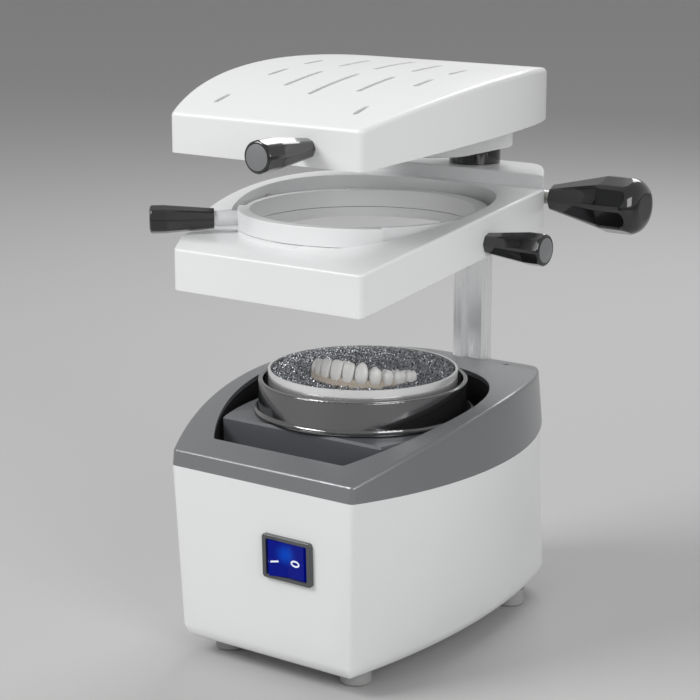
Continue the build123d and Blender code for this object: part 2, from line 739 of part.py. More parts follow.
placed_teeth = cast_place * cast_teeth.part
save(placed_teeth, "cast_teeth")

with BuildPart() as granules:
    add(disc_ring(CUP_BOTTOM_Z + CUP_WALL, GRANULE_TOP_Z, cup_inner - GRANULE_GAP))
    add(cast_gum, mode=Mode.SUBTRACT)
    add(placed_teeth, mode=Mode.SUBTRACT)
save(granules.part, "granules")

# ---------------------------------------------------------------- feet and floor plate
foot_names = ("foot_front_right", "foot_front_left", "foot_rear_right", "foot_rear_left")
for name, place in zip(foot_names, foot_places):
    with BuildPart() as foot:
        with BuildSketch():
            with Locations(place):
                Circle(FOOT_RADIUS)
        extrude(amount=BASE_BOTTOM)
        chamfer(foot.faces().sort_by(Axis.Z)[0].edges(), 1.2)
        with BuildSketch():
            with Locations(place):
                Circle(SCREW_HEAD_RADIUS)
        extrude(amount=2 * SCREW_HEAD_HEIGHT, mode=Mode.SUBTRACT)
        with BuildSketch():
            with Locations(place):
                Circle(SCREW_RADIUS)
        extrude(amount=BASE_BOTTOM, mode=Mode.SUBTRACT)
    save(foot.part, name)

with BuildPart() as foot_screws:
    with BuildSketch(Plane.XY.offset(SCREW_HEAD_HEIGHT)):
        with Locations(*foot_places):
            Circle(SCREW_HEAD_RADIUS)
    extrude(amount=SCREW_HEAD_HEIGHT)
    with BuildSketch(Plane.XY.offset(2 * SCREW_HEAD_HEIGHT)):
        with Locations(*foot_places):
            Circle(SCREW_RADIUS)
    extrude(amount=PLATE_TOP_Z + 2 - 2 * SCREW_HEAD_HEIGHT)
save(foot_screws.part, "foot_screws")

with BuildPart() as floor_plate:
    extrude(base_plan(FLOOR_TOP_Z, BASE_WALL + BOTTOM_ROUND / 2 + LIP_GAP), amount=FLOOR_PLATE)
    with BuildSketch(Plane.XY.offset(FLOOR_TOP_Z)):
        Circle(MOTOR_RADIUS - 6)
        with Locations(*foot_places):
            Circle(SCREW_RADIUS)
    extrude(amount=FLOOR_PLATE, mode=Mode.SUBTRACT)
save(floor_plate.part, "floor_plate")

# ---------------------------------------------------------------- vacuum motor
mount_ring_z = MOTOR_BOTTOM_Z - 3.0
with BuildPart() as motor_mount:
    add(disc_ring(mount_ring_z, MOTOR_BOTTOM_Z, MOTOR_RADIUS + 6, MOTOR_RADIUS - 8))
    with BuildSketch(Plane.XY.offset(PLATE_TOP_Z)):
        with PolarLocations(MOTOR_RADIUS, 3, start_angle=30):
            Circle(4.0)
    extrude(amount=mount_ring_z - PLATE_TOP_Z)
save(motor_mount.part, "motor_mount")

with BuildPart() as motor_can:
    add(disc_ring(MOTOR_BOTTOM_Z, MOTOR_TOP_Z, MOTOR_RADIUS))
    fillet(motor_can.edges().filter_by(GeomType.CIRCLE), 3.0)
    with BuildSketch(Plane.XY.offset(MOTOR_BOTTOM_Z + MOTOR_WALL)):
        Circle(MOTOR_RADIUS - MOTOR_WALL)
    extrude(amount=MOTOR_TOP_Z - MOTOR_BOTTOM_Z - 2 * MOTOR_WALL, mode=Mode.SUBTRACT)
    with BuildSketch(Plane.XY.offset(MOTOR_BOTTOM_Z)):
        Circle(SHAFT_RADIUS + BEARING_GAP)
        with PolarLocations(18, 6):
            Circle(4.0)
    extrude(amount=MOTOR_TOP_Z - MOTOR_BOTTOM_Z, mode=Mode.SUBTRACT)
save(motor_can.part, "motor_can")

stator_low = MOTOR_BOTTOM_Z + 9
stator_high = MOTOR_TOP_Z - 9
save(disc_ring(stator_low, stator_high, MOTOR_RADIUS - MOTOR_WALL, 20.5), "motor_stator")

with BuildPart() as fan_chamber:
    add(disc_ring(MOTOR_TOP_Z, CHAMBER_TOP_Z, CHAMBER_RADIUS))
    with BuildSketch(Plane.XY.offset(MOTOR_TOP_Z + CHAMBER_WALL)):
        Circle(CHAMBER_RADIUS - CHAMBER_WALL)
    extrude(amount=CHAMBER_TOP_Z - MOTOR_TOP_Z, mode=Mode.SUBTRACT)
    with BuildSketch(Plane.XY.offset(MOTOR_TOP_Z)):
        Circle(SHAFT_RADIUS + 1)
    extrude(amount=CHAMBER_WALL, mode=Mode.SUBTRACT)
    # outlet windows round the drum
    for turn in range(8):
        with BuildSketch(radial_plane(45 * turn + 22.5, CHAMBER_RADIUS - 3, MOTOR_TOP_Z + 8)):
            SlotOverall(18, 6)
        extrude(amount=5, mode=Mode.SUBTRACT)
save(fan_chamber.part, "fan_chamber")

save(
    disc_ring(CHAMBER_TOP_Z, CHAMBER_TOP_Z + CHAMBER_WALL, CHAMBER_RADIUS, SUCTION_RADIUS), "chamber_lid"
)
save(
    disc_ring(CHAMBER_TOP_Z + CHAMBER_WALL, BLOCK_BOTTOM_Z, SUCTION_RADIUS + 8, SUCTION_RADIUS),
    "suction_seal",
)

impeller_z = MOTOR_TOP_Z + 8
with BuildPart() as rotor_shaft:
    add(
        stepped_bar(
            Plane.XY,
            (
                (MOTOR_BOTTOM_Z - 2, impeller_z + BLADE_HEIGHT + 4, SHAFT_RADIUS),
                (stator_low + 1, stator_high - 1, 19.5),
            ),
        )
    )
save(rotor_shaft.part, "rotor_shaft")

with BuildPart() as impeller:
    add(disc_ring(impeller_z, impeller_z + IMPELLER_DISC, IMPELLER_RADIUS, SHAFT_RADIUS))
    add(disc_ring(impeller_z, impeller_z + BLADE_HEIGHT, SHAFT_RADIUS + 4, SHAFT_RADIUS))
    add(
        disc_ring(
            impeller_z + BLADE_HEIGHT - IMPELLER_DISC,
            impeller_z + BLADE_HEIGHT,
            IMPELLER_RADIUS,
            SUCTION_RADIUS + 1,
        )
    )
    for blade in range(BLADE_COUNT):
        with BuildSketch(Plane.XY.offset(impeller_z).rotated((0, 0, 360 / BLADE_COUNT * blade))):
            with BuildLine():
                ThreePointArc((12, 0), (30, 9), (IMPELLER_RADIUS - 1, 6))
                Line((IMPELLER_RADIUS - 1, 6), (IMPELLER_RADIUS - 1, 7.6))
                ThreePointArc((IMPELLER_RADIUS - 1, 7.6), (30, 10.6), (12, 1.4))
                Line((12, 1.4), (12, 0))
            make_face()
        extrude(amount=BLADE_HEIGHT)
save(impeller.part, "impeller")

# ---------------------------------------------------------------- switch
def trunnion_bar(radius, gap=0.0):
    """Round bar through both of the rocker's trunnions, about the axis of its own plane."""
    with BuildSketch(Plane.XZ) as section:
        Circle(radius)
    return extrude(section.sketch, amount=ROCKER_HEIGHT / 2 + TRUNNION_LENGTH + gap, both=True)


rocker_plane = switch_plane.offset(ROCKER_AXIS_DEPTH)
trunnions = trunnion_bar(TRUNNION_RADIUS)
trunnion_bore = rocker_plane.location * trunnion_bar(TRUNNION_RADIUS + RUNNING_GAP, RUNNING_GAP)
with BuildPart() as switch_bezel:
    with BuildSketch(switch_plane):
        RectangleRounded(BEZEL_WIDTH, BEZEL_HEIGHT, 2.0)
    extrude(amount=BEZEL_PROUD)
    fillet(switch_bezel.faces().sort_by(Axis.Y)[0].edges(), 0.8)
    with BuildSketch(switch_plane):
        Rectangle(SWITCH_BODY_WIDTH, SWITCH_BODY_HEIGHT)
    extrude(amount=-SWITCH_BODY_DEPTH)
    with BuildSketch(switch_plane.offset(BEZEL_PROUD)):
        Rectangle(ROCKER_WIDTH + 2 * ROCKER_GAP, ROCKER_HEIGHT + 2 * ROCKER_GAP)
    extrude(amount=-BEZEL_PROUD - 9.0, mode=Mode.SUBTRACT)
    add(trunnion_bore, mode=Mode.SUBTRACT)
save(switch_bezel.part, "switch_housing")

# The rocker turns about an axis that runs up the front face; its right half is pressed in.
rocker_half = ROCKER_WIDTH / 2
with BuildPart() as rocker_level:
    with BuildSketch(Plane.XZ):
        with BuildLine():
            Polyline(
                (0, 3.6),
                (rocker_half - 2.6, 5.6),
                (rocker_half, 2.4),
                (rocker_half - 0.6, -1.2),
                (0, -4.4),
                (0.6 - rocker_half, -1.2),
                (-rocker_half, 2.4),
                (2.6 - rocker_half, 5.6),
                (0, 3.6),
            )
        make_face()
    extrude(amount=ROCKER_HEIGHT / 2, both=True)
    add(trunnions)
rocker_tipped = Location((0, 0, 0), (0, ROCKER_TILT, 0)) * rocker_level.part
save(rocker_plane.location * rocker_tipped, "switch_rocker")

# ---------------------------------------------------------------- power inlet and wiring
with BuildPart() as power_inlet:
    with BuildSketch(inlet_plane):
        RectangleRounded(INLET_WIDTH, INLET_HEIGHT, 2.0)
    extrude(amount=INLET_PROUD)
    with BuildSketch(inlet_plane):
        Rectangle(INLET_WIDTH - 4.4, INLET_HEIGHT - 4.4)
    extrude(amount=-INLET_BODY_DEPTH)
    with BuildSketch(inlet_plane.offset(INLET_PROUD)):
        RectangleRounded(22.0, 15.0, 2.0)
    extrude(amount=-SOCKET_DEPTH, mode=Mode.SUBTRACT)
    with BuildSketch(inlet_plane.offset(INLET_PROUD - SOCKET_DEPTH)):
        with Locations((0, 2), (-7, -2), (7, -2)):
            Rectangle(2.0, 4.0)
    extrude(amount=SOCKET_DEPTH - 3)
save(power_inlet.part, "power_inlet")

fuse_plane = Plane(inlet_plane.location * Location((INLET_X - FUSE_X, 0, 0)))
with BuildPart() as fuse_holder:
    add(stepped_bar(fuse_plane, ((-INLET_BODY_DEPTH, 0, FUSE_RADIUS), (0, INLET_PROUD, FUSE_RADIUS + 1.6))))
    with BuildSketch(fuse_plane.offset(INLET_PROUD)):
        Rectangle(8.0, 1.4)
    extrude(amount=-1.2, mode=Mode.SUBTRACT)
save(fuse_holder.part, "fuse_holder")

# Cable from the switch along the floor to the inlet
with BuildPart() as wiring:
    with BuildLine() as cable:
        FilletPolyline(
            (SWITCH_X + 8, switch_wall_y + SWITCH_BODY_DEPTH + CABLE_GAP, SWITCH_Z - 5),
            (SWITCH_X + 8, switch_wall_y + SWITCH_BODY_DEPTH + 12, SWITCH_Z - 5),
            (SWITCH_X + 8, switch_wall_y + SWITCH_BODY_DEPTH + 12, CABLE_Z),
            (CABLE_X, switch_wall_y + SWITCH_BODY_DEPTH + 12, CABLE_Z),
            (CABLE_X, inlet_wall_y - 2 * INLET_BODY_DEPTH, CABLE_Z),
            (INLET_X, inlet_wall_y - 2 * INLET_BODY_DEPTH, CABLE_Z),
            (INLET_X, inlet_wall_y - 2 * INLET_BODY_DEPTH, INLET_Z),
            (INLET_X, inlet_wall_y - INLET_BODY_DEPTH - CABLE_GAP, INLET_Z),
            radius=CABLE_BEND,
        )
    with BuildSketch(Plane(origin=cable.line @ 0, z_dir=cable.line % 0)):
        Circle(CABLE_RADIUS)
    sweep(path=cable.line)
save(wiring.part, "wiring")

# ---------------------------------------------------------------- column and pivot
with BuildPart() as column:
    extrude(column_face(COLUMN_BOTTOM_Z), amount=COLUMN_TOP_Z - COLUMN_BOTTOM_Z)
    with BuildSketch(Plane.XY.offset(COLUMN_TOP_Z)):
        with Locations((0, COLUMN_Y)):
            Circle(PIN_SPIGOT_RADIUS)
    extrude(amount=-PIN_SPIGOT_DEPTH, mode=Mode.SUBTRACT)
    with BuildSketch(Plane.XZ.offset(-COLUMN_BACK)):
        with Locations(*[(2, height) for height in COLUMN_SCREW_HEIGHTS]):
            Circle(SCREW_RADIUS)
    extrude(amount=COLUMN_DEPTH, mode=Mode.SUBTRACT)
save(column.part, "column")

foot_block_front = COLUMN_FRONT - COLUMN_FOOT_WALL
with BuildPart() as column_foot:
    with BuildSketch(Plane.XY.offset(PLATE_TOP_Z)):
        with Locations((0, (foot_block_front + COLUMN_FOOT_BACK) / 2)):
            Rectangle(COLUMN_BASE_WIDTH, COLUMN_FOOT_BACK - foot_block_front)
    extrude(amount=COLUMN_BOTTOM_Z - PLATE_TOP_Z)
    with BuildSketch(Plane.XY.offset(COLUMN_BOTTOM_Z)):
        with Locations((0, (foot_block_front + COLUMN_BACK) / 2)):
            Rectangle(COLUMN_FOOT_WIDTH, COLUMN_BACK - foot_block_front)
    extrude(amount=COLUMN_FOOT_HEIGHT)
    extrude(column_face(COLUMN_BOTTOM_Z), amount=COLUMN_FOOT_HEIGHT, mode=Mode.SUBTRACT)
    chamfer(column_foot.faces().sort_by(Axis.Z)[-1].edges().group_by(Axis.Y)[0], 3.0)
    with BuildSketch(Plane.XZ.offset(-COLUMN_FRONT - RAIL_PROUD)):
        with Locations(*[(2, height) for height in COLUMN_SCREW_HEIGHTS]):
            Circle(SCREW_RADIUS)
    extrude(amount=2 * COLUMN_FOOT_WALL, mode=Mode.SUBTRACT)
save(column_foot.part, "column_foot")

with BuildPart() as column_screws:
    for height in COLUMN_SCREW_HEIGHTS:
        screw_plane = Plane(origin=(2, foot_block_front, height), x_dir=(1, 0, 0), z_dir=(0, -1, 0))
        shank = (foot_block_front - COLUMN_BACK, 0, SCREW_RADIUS)
        screw_head = (0, SCREW_HEAD_HEIGHT, SCREW_HEAD_RADIUS)
        add(stepped_bar(screw_plane, (shank, screw_head)))
save(column_screws.part, "column_screws")

with BuildPart() as cover_screws:
    with BuildSketch(Plane.XY.offset(COVER_SCREW_Z - COVER_SCREW_LENGTH)):
        with Locations(*cover_screw_places):
            Circle(SCREW_RADIUS)
    extrude(amount=COVER_SCREW_LENGTH)
    with BuildSketch(Plane.XY.offset(COVER_SCREW_Z - COVER_SCREW_LENGTH)):
        with Locations(*cover_screw_places):
            Circle(SCREW_HEAD_RADIUS)
    extrude(amount=SCREW_HEAD_HEIGHT)
save(cover_screws.part, "cover_screws")

pivot_axis = Plane(origin=(0, COLUMN_Y, 0), x_dir=(1, 0, 0), z_dir=(0, 0, 1))
pivot_pin = stepped_bar(
    pivot_axis,
    (
        (COLUMN_TOP_Z - PIN_SPIGOT_DEPTH, COLUMN_TOP_Z, PIN_SPIGOT_RADIUS),
        (COLUMN_TOP_Z, PIN_TOP_Z, PIN_RADIUS),
    ),
)
save(pivot_pin, "pivot_pin")

with BuildPart() as pivot_collar:
    with BuildSketch(pivot_axis.offset(COLUMN_TOP_Z)):
        Circle(COLLAR_RADIUS)
        Circle(PIN_RADIUS, mode=Mode.SUBTRACT)
    extrude(amount=COLLAR_HEIGHT)
    chamfer(pivot_collar.faces().sort_by(Axis.Z)[-1].outer_wire().edges(), 0.8)
save(pivot_collar.part, "pivot_collar")

# ---------------------------------------------------------------- film carriage
# Arched white frame: pocket with a seat for the clamp ring, high rear wall, guide for the column.
lever_pocket = extrude(
    sector_face(LEVER_POCKET_Z, RING_RADIUS, 2 * POCKET_RADIUS, LEVER_POCKET_FROM, LEVER_POCKET_TO),
    amount=BACK_WALL_TOP_Z,
)
with BuildPart() as rear_block:
    extrude(upper_plan(SEAT_Z), amount=BACK_WALL_TOP_Z - SEAT_Z)
    with BuildSketch(Plane.XY.offset(SEAT_Z)):
        with Locations((0, BACK_WALL_Y - BODY_BACK)):
            Rectangle(4 * BODY_BACK, 2 * BODY_BACK)
    extrude(amount=BACK_WALL_TOP_Z - SEAT_Z, mode=Mode.SUBTRACT)
    fillet(rear_block.faces().sort_by(Axis.Z)[-1].edges(), CARRIAGE_ROUND)

lock_axis = Plane(origin=(0, COLUMN_Y, LOCK_Z), x_dir=(0, 1, 0), z_dir=(1, 0, 0))
handle_plane = Plane(origin=(UPPER_HALF_WIDTH, 0, HANDLE_Z), x_dir=(0, 1, 0), z_dir=(1, 0, 0))
bush_grow = RUNNING_GAP + BUSH_WALL
with BuildPart() as carriage_frame:
    extrude(upper_plan(CARRIAGE_LOW_Z), amount=BACK_WALL_TOP_Z - CARRIAGE_LOW_Z)
    add(under_arch(CARRIAGE_APEX, 0), mode=Mode.INTERSECT)
    fillet(carriage_frame.faces().sort_by(Axis.Z)[-1].edges(), CARRIAGE_ROUND)
    add(rear_block.part)
    add(under_arch(CARRIAGE_UNDER_APEX, 0), mode=Mode.SUBTRACT)
    add(disc_ring(CARRIAGE_LOW_Z, BACK_WALL_TOP_Z, BORE_RADIUS), mode=Mode.SUBTRACT)
    add(disc_ring(SEAT_Z, BACK_WALL_TOP_Z + 1, POCKET_RADIUS), mode=Mode.SUBTRACT)
    add(lever_pocket, mode=Mode.SUBTRACT)
    with BuildSketch(Plane.XY.offset(SEAT_Z - GASKET_THICKNESS)):
        Circle(GASKET_OUTER)
        Circle(GASKET_INNER, mode=Mode.SUBTRACT)
    extrude(amount=GASKET_THICKNESS, mode=Mode.SUBTRACT)
    extrude(column_face(CARRIAGE_LOW_Z, bush_grow), amount=BACK_WALL_TOP_Z, mode=Mode.SUBTRACT)
    with BuildSketch(lock_axis.offset(COLUMN_WIDTH / 2)):
        Circle(LOCK_SPINDLE_RADIUS + RUNNING_GAP)
    extrude(amount=UPPER_HALF_WIDTH, mode=Mode.SUBTRACT)
    with BuildSketch(handle_plane):
        Circle(STUD_RADIUS)
    extrude(amount=-STUD_DEPTH / 2, mode=Mode.SUBTRACT)
    for angle in (BAYONET_ANGLE, BAYONET_ANGLE - 180):
        with BuildSketch(radial_plane(angle, POCKET_RADIUS - 1, BAYONET_Z)):
            Circle(BAYONET_RADIUS)
        extrude(amount=1 + BAYONET_SEAT, mode=Mode.SUBTRACT)
save(carriage_frame.part, "carriage_frame")

save(disc_ring(SEAT_Z - GASKET_THICKNESS, SEAT_Z, GASKET_OUTER, GASKET_INNER), "seat_gasket")

with BuildPart() as bayonet_pins:
    for angle in (BAYONET_ANGLE, BAYONET_ANGLE - 180):
        with BuildSketch(radial_plane(angle, BAYONET_TIP, BAYONET_Z)):
            Circle(BAYONET_RADIUS)
        extrude(amount=POCKET_RADIUS + BAYONET_SEAT - BAYONET_TIP)
save(bayonet_pins.part, "bayonet_pins")

with BuildPart() as guide_bush:
    extrude(column_face(BUSH_BOTTOM_Z, bush_grow), amount=BUSH_TOP_Z - BUSH_BOTTOM_Z)
    extrude(column_face(BUSH_BOTTOM_Z, RUNNING_GAP), amount=BUSH_TOP_Z - BUSH_BOTTOM_Z, mode=Mode.SUBTRACT)
    with BuildSketch(lock_axis.offset(COLUMN_WIDTH / 2)):
        Circle(LOCK_SPINDLE_RADIUS + RUNNING_GAP)
    extrude(amount=2 * bush_grow, mode=Mode.SUBTRACT)
save(guide_bush.part, "guide_bush")

# ---------------------------------------------------------------- clamp ring
with BuildPart() as clamp_ring:
    add(disc_ring(RING_BOTTOM_Z, RING_TOP_Z, RING_INNER + RING_WALL, RING_INNER))
    for turn in (0, 180):
        extrude(
            sector_face(RING_BOTTOM_Z, RING_INNER + 1, RING_RADIUS, SKIRT_FROM + turn, SKIRT_TO + turn),
            amount=RING_HEIGHT,
        )
    fillet(clamp_ring.faces().sort_by(Axis.Z)[-1].edges(), 0.6)
    for turn in (0, 180):
        middle = radians((RAMP_FROM + RAMP_TO) / 2 + turn)
        half_run = RING_RADIUS * sin(radians((RAMP_TO - RAMP_FROM) / 2))
        slope = (RAMP_HIGH - RAMP_LOW) / 2 / half_run
        ramp_top = Plane(
            origin=(0, 0, RING_BOTTOM_Z + (RAMP_HIGH + RAMP_LOW) / 2),
            z_dir=(slope * sin(middle), -slope * cos(middle), 1),
        )
        ramp = extrude(
            sector_face(
                RING_BOTTOM_Z,
                RING_INNER + 1,
                RING_INNER + RING_WALL + RAMP_WIDTH,
                RAMP_FROM + turn,
                RAMP_TO + turn,
            ),
            amount=RING_HEIGHT,
            mode=Mode.PRIVATE,
        )
        add(split(ramp, bisect_by=ramp_top, keep=Keep.BOTTOM, mode=Mode.PRIVATE))
    with BuildSketch(radial_plane(LEVER_ANGLE, RING_INNER + RING_WALL - 1, LEVER_Z)):
        Circle(LEVER_ROD_RADIUS)
    extrude(amount=10, mode=Mode.SUBTRACT)
save(clamp_ring.part, "clamp_ring")

lever_plane = radial_plane(LEVER_ANGLE, 0, LEVER_Z)
ring_lever_rod = stepped_bar(
    lever_plane,
    (
        (RING_INNER + RING_WALL - 1, LEVER_KNOB_START, LEVER_ROD_RADIUS),
        (LEVER_KNOB_START, LEVER_KNOB_START + STUD_DEPTH, STUD_RADIUS),
    ),
)
save(ring_lever_rod, "ring_lever_rod")
save(
    faceted_knob(
        lever_plane.offset(LEVER_KNOB_START),
        LEVER_KNOB_LENGTH,
        LEVER_NECK,
        LEVER_GRIP,
        LEVER_KNOB_LENGTH - 8,
        1.6,
        STUD_DEPTH,
    ),
    "ring_lever_knob",
)

# ---------------------------------------------------------------- carriage knobs
save(
    faceted_knob(handle_plane, HANDLE_LENGTH, HANDLE_NECK, HANDLE_GRIP, HANDLE_LENGTH - 10, 1.8, STUD_DEPTH),
    "side_handle",
)
save(
    stepped_bar(handle_plane, ((-STUD_DEPTH / 2, STUD_DEPTH, STUD_RADIUS),)),
    "side_handle_stud",
)
save(
    faceted_knob(
        lock_axis.offset(LOCK_KNOB_START),
        LOCK_KNOB_LENGTH,
        LOCK_NECK,
        LOCK_GRIP,
        LOCK_TAPER,
        LOCK_DOME,
        STUD_DEPTH,
    ),
    "lock_knob",
)
shoe_start = COLUMN_WIDTH / 2 + RUNNING_GAP
lock_spindle = stepped_bar(
    lock_axis,
    (
        (shoe_start + LOCK_SHOE_LENGTH + RUNNING_GAP, LOCK_KNOB_START, LOCK_SPINDLE_RADIUS),
        (LOCK_KNOB_START, LOCK_KNOB_START + STUD_DEPTH, STUD_RADIUS),
    ),
)
save(lock_spindle, "lock_spindle")
save(
    stepped_bar(lock_axis, ((shoe_start, shoe_start + LOCK_SHOE_LENGTH, LOCK_SPINDLE_RADIUS),)),
    "lock_shoe",
)

# ---------------------------------------------------------------- heater head
head_knob_plane = Plane(origin=(HEAD_KNOB_X, -UPPER_FRONT, HEAD_KNOB_Z), x_dir=(1, 0, 0), z_dir=(0, -1, 0))
with BuildPart() as head_inside:
    extrude(upper_plan(HEAD_BOSS_Z, HEAD_WALL), amount=HEAD_APEX - HEAD_BOSS_Z)
    add(
        under_arch(HEAD_APEX - HEAD_WALL, 0, HEAD_ARCH_RADIUS - HEAD_WALL, HEAD_ARCH_Y),
        mode=Mode.INTERSECT,
    )

with BuildPart() as head_shell:
    extrude(upper_plan(HEAD_BOSS_Z), amount=HEAD_APEX - HEAD_BOSS_Z)
    add(under_arch(HEAD_APEX, 0, HEAD_ARCH_RADIUS, HEAD_ARCH_Y), mode=Mode.INTERSECT)
    fillet(head_shell.faces().sort_by(Axis.Z)[-1].edges(), HEAD_ROUND)
    add(under_arch(HEAD_UNDER_APEX, 0, HEAD_UNDER_RADIUS, HEAD_ARCH_Y), mode=Mode.SUBTRACT)
    add(head_inside.part, mode=Mode.SUBTRACT)
    # posts from the roof down to the pan, each with the hole of its screw
    with BuildSketch(Plane.XY.offset(PAN_TOP_Z)):
        with Locations(*PAN_POST_PLACES):
            Circle(PAN_POST_RADIUS)
    extrude(until=Until.NEXT)
    with BuildSketch(Plane.XY.offset(PAN_TOP_Z)):
        with Locations(*PAN_POST_PLACES):
            Circle(PAN_SCREW_RADIUS)
    extrude(amount=PAN_SCREW_LENGTH, mode=Mode.SUBTRACT)
    # vent slots in rows, longest in the middle
    with BuildSketch(Plane.XY.offset(PAN_TOP_Z + PAN_SCREW_LENGTH)):
        for x, front_y, back_y in SLOTS:
            with Locations(*{(x, (front_y + back_y) / 2), (-x, (front_y + back_y) / 2)}):
                SlotOverall(back_y - front_y, SLOT_WIDTH, rotation=90)
    extrude(amount=HEAD_APEX, mode=Mode.SUBTRACT)
    with BuildSketch(head_knob_plane):
        Circle(STUD_RADIUS)
    extrude(amount=-2 * HEAD_WALL, mode=Mode.SUBTRACT)
save(head_shell.part, "head_shell")

with BuildPart() as heater_pan:
    extrude(upper_plan(PAN_Z, HEAD_WALL + PAN_GAP), amount=PAN_THICKNESS)
    with BuildSketch(Plane.XY.offset(PAN_Z)):
        Circle(HEATER_RADIUS)
        with Locations(*PAN_POST_PLACES):
            Circle(PAN_SCREW_RADIUS)
        with Locations((HEAD_KNOB_X, -UPPER_FRONT)):
            Rectangle(4 * STUD_RADIUS + 4, 20)
        with Locations((0, COLUMN_Y)):
            Circle(BUSH_RADIUS)
    extrude(amount=PAN_THICKNESS, mode=Mode.SUBTRACT)
save(heater_pan.part, "heater_pan")

with BuildPart() as pan_screws:
    with BuildSketch(Plane.XY.offset(PAN_Z - SCREW_HEAD_HEIGHT)):
        with Locations(*PAN_POST_PLACES):
            Circle(2 * PAN_SCREW_RADIUS)
    extrude(amount=SCREW_HEAD_HEIGHT)
    with BuildSketch(Plane.XY.offset(PAN_Z)):
        with Locations(*PAN_POST_PLACES):
            Circle(PAN_SCREW_RADIUS)
    extrude(amount=PAN_THICKNESS + PAN_SCREW_LENGTH)
save(pan_screws.part, "pan_screws")

with BuildPart() as head_boss:
    with BuildSketch(Plane.XY.offset(HEAD_BOSS_Z)) as boss_plan:
        with BuildLine():
            Line((-HEAD_BOSS_HALF, HEAD_BOSS_NOSE_Y), (-HEAD_BOSS_HALF, HEAD_BOSS_BACK))
            Line((-HEAD_BOSS_HALF, HEAD_BOSS_BACK), (HEAD_BOSS_HALF, HEAD_BOSS_BACK))
            Line((HEAD_BOSS_HALF, HEAD_BOSS_BACK), (HEAD_BOSS_HALF, HEAD_BOSS_NOSE_Y))
            ThreePointArc(
                (HEAD_BOSS_HALF, HEAD_BOSS_NOSE_Y),
                (0, HEAD_BOSS_NOSE_Y - HEAD_BOSS_HALF),
                (-HEAD_BOSS_HALF, HEAD_BOSS_NOSE_Y),
            )
        make_face()
        fillet(boss_plan.vertices().group_by(Axis.Y)[-1], HEAD_BOSS_CORNER)
    extrude(amount=PAN_Z - HEAD_BOSS_Z)
    fillet(head_boss.faces().sort_by(Axis.Z)[0].edges(), 1.2)
    # hollow towards the pan, solid round the bush
    with BuildSketch(Plane.XY.offset(HEAD_BOSS_Z + 2 * HEAD_WALL)):
        with Locations((0, HEAD_BOSS_NOSE_Y + 5)):
            SlotOverall(2 * HEAD_BOSS_HALF, 2 * HEAD_BOSS_HALF - 12, rotation=90)
    extrude(amount=PAN_Z, mode=Mode.SUBTRACT)
    with BuildSketch(Plane.XY.offset(HEAD_BOSS_Z)):
        with Locations((0, COLUMN_Y)):
            Circle(BUSH_RADIUS)
    extrude(amount=PAN_Z, mode=Mode.SUBTRACT)
save(head_boss.part, "head_boss")

with BuildPart() as pivot_bush:
    with BuildSketch(pivot_axis.offset(HEAD_BOSS_Z)):
        Circle(BUSH_RADIUS)
        Circle(PIN_RADIUS + RUNNING_GAP, mode=Mode.SUBTRACT)
    extrude(amount=PAN_TOP_Z - HEAD_BOSS_Z)
save(pivot_bush.part, "pivot_bush")

# ---------------------------------------------------------------- heater
reflector_top = PAN_TOP_Z + REFLECTOR_DEPTH
with BuildPart() as heater_reflector:
    add(disc_ring(PAN_TOP_Z, PAN_TOP_Z + REFLECTOR_WALL, HEATER_RADIUS + REFLECTOR_FLANGE, HEATER_RADIUS))
    add(disc_ring(PAN_TOP_Z, reflector_top, HEATER_RADIUS + REFLECTOR_WALL, HEATER_RADIUS))
    add(disc_ring(reflector_top, reflector_top + REFLECTOR_WALL, HEATER_RADIUS + REFLECTOR_WALL))
save(heater_reflector.part, "heater_reflector")

with BuildPart() as heater_tile:
    add(disc_ring(TILE_Z, TILE_Z + TILE_THICKNESS, TILE_RADIUS))
    with BuildSketch(Plane.XY.offset(TILE_Z + TILE_THICKNESS)):
        with PolarLocations(TILE_RADIUS - 8, 3):
            Circle(3.0)
    extrude(amount=reflector_top - TILE_Z - TILE_THICKNESS)
save(heater_tile.part, "heater_tile")

# Spiral of half circles, each half a pitch wider than the one before
with BuildPart() as heater_coil:
    with BuildLine() as spiral:
        for step in range(2 * COIL_TURNS):
            side = 1 - 2 * (step % 2)
            near = COIL_START + step * COIL_PITCH / 2
            far = near + COIL_PITCH / 2
            ThreePointArc(
                (side * near, 0, COIL_Z),
                (side * (near - far) / 2, side * (near + far) / 2, COIL_Z),
                (-side * far, 0, COIL_Z),
            )
    with BuildSketch(Plane(origin=spiral.line @ 0, z_dir=spiral.line % 0)):
        Circle(COIL_RADIUS)
    sweep(path=spiral.line)
save(heater_coil.part, "heater_coil")

# ---------------------------------------------------------------- head knob
save(
    faceted_knob(
        head_knob_plane,
        HEAD_KNOB_LENGTH,
        HEAD_KNOB_NECK,
        HEAD_KNOB_GRIP,
        HEAD_KNOB_LENGTH - 12,
        1.8,
        STUD_DEPTH,
    ),
    "head_knob",
)
save(
    stepped_bar(
        head_knob_plane,
        ((-HEAD_WALL, STUD_DEPTH, STUD_RADIUS), (-HEAD_WALL - 3, -HEAD_WALL, 1.8 * STUD_RADIUS)),
    ),
    "head_knob_stud",
)
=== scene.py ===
import math
import random

import bpy
from mathutils import Matrix, Vector


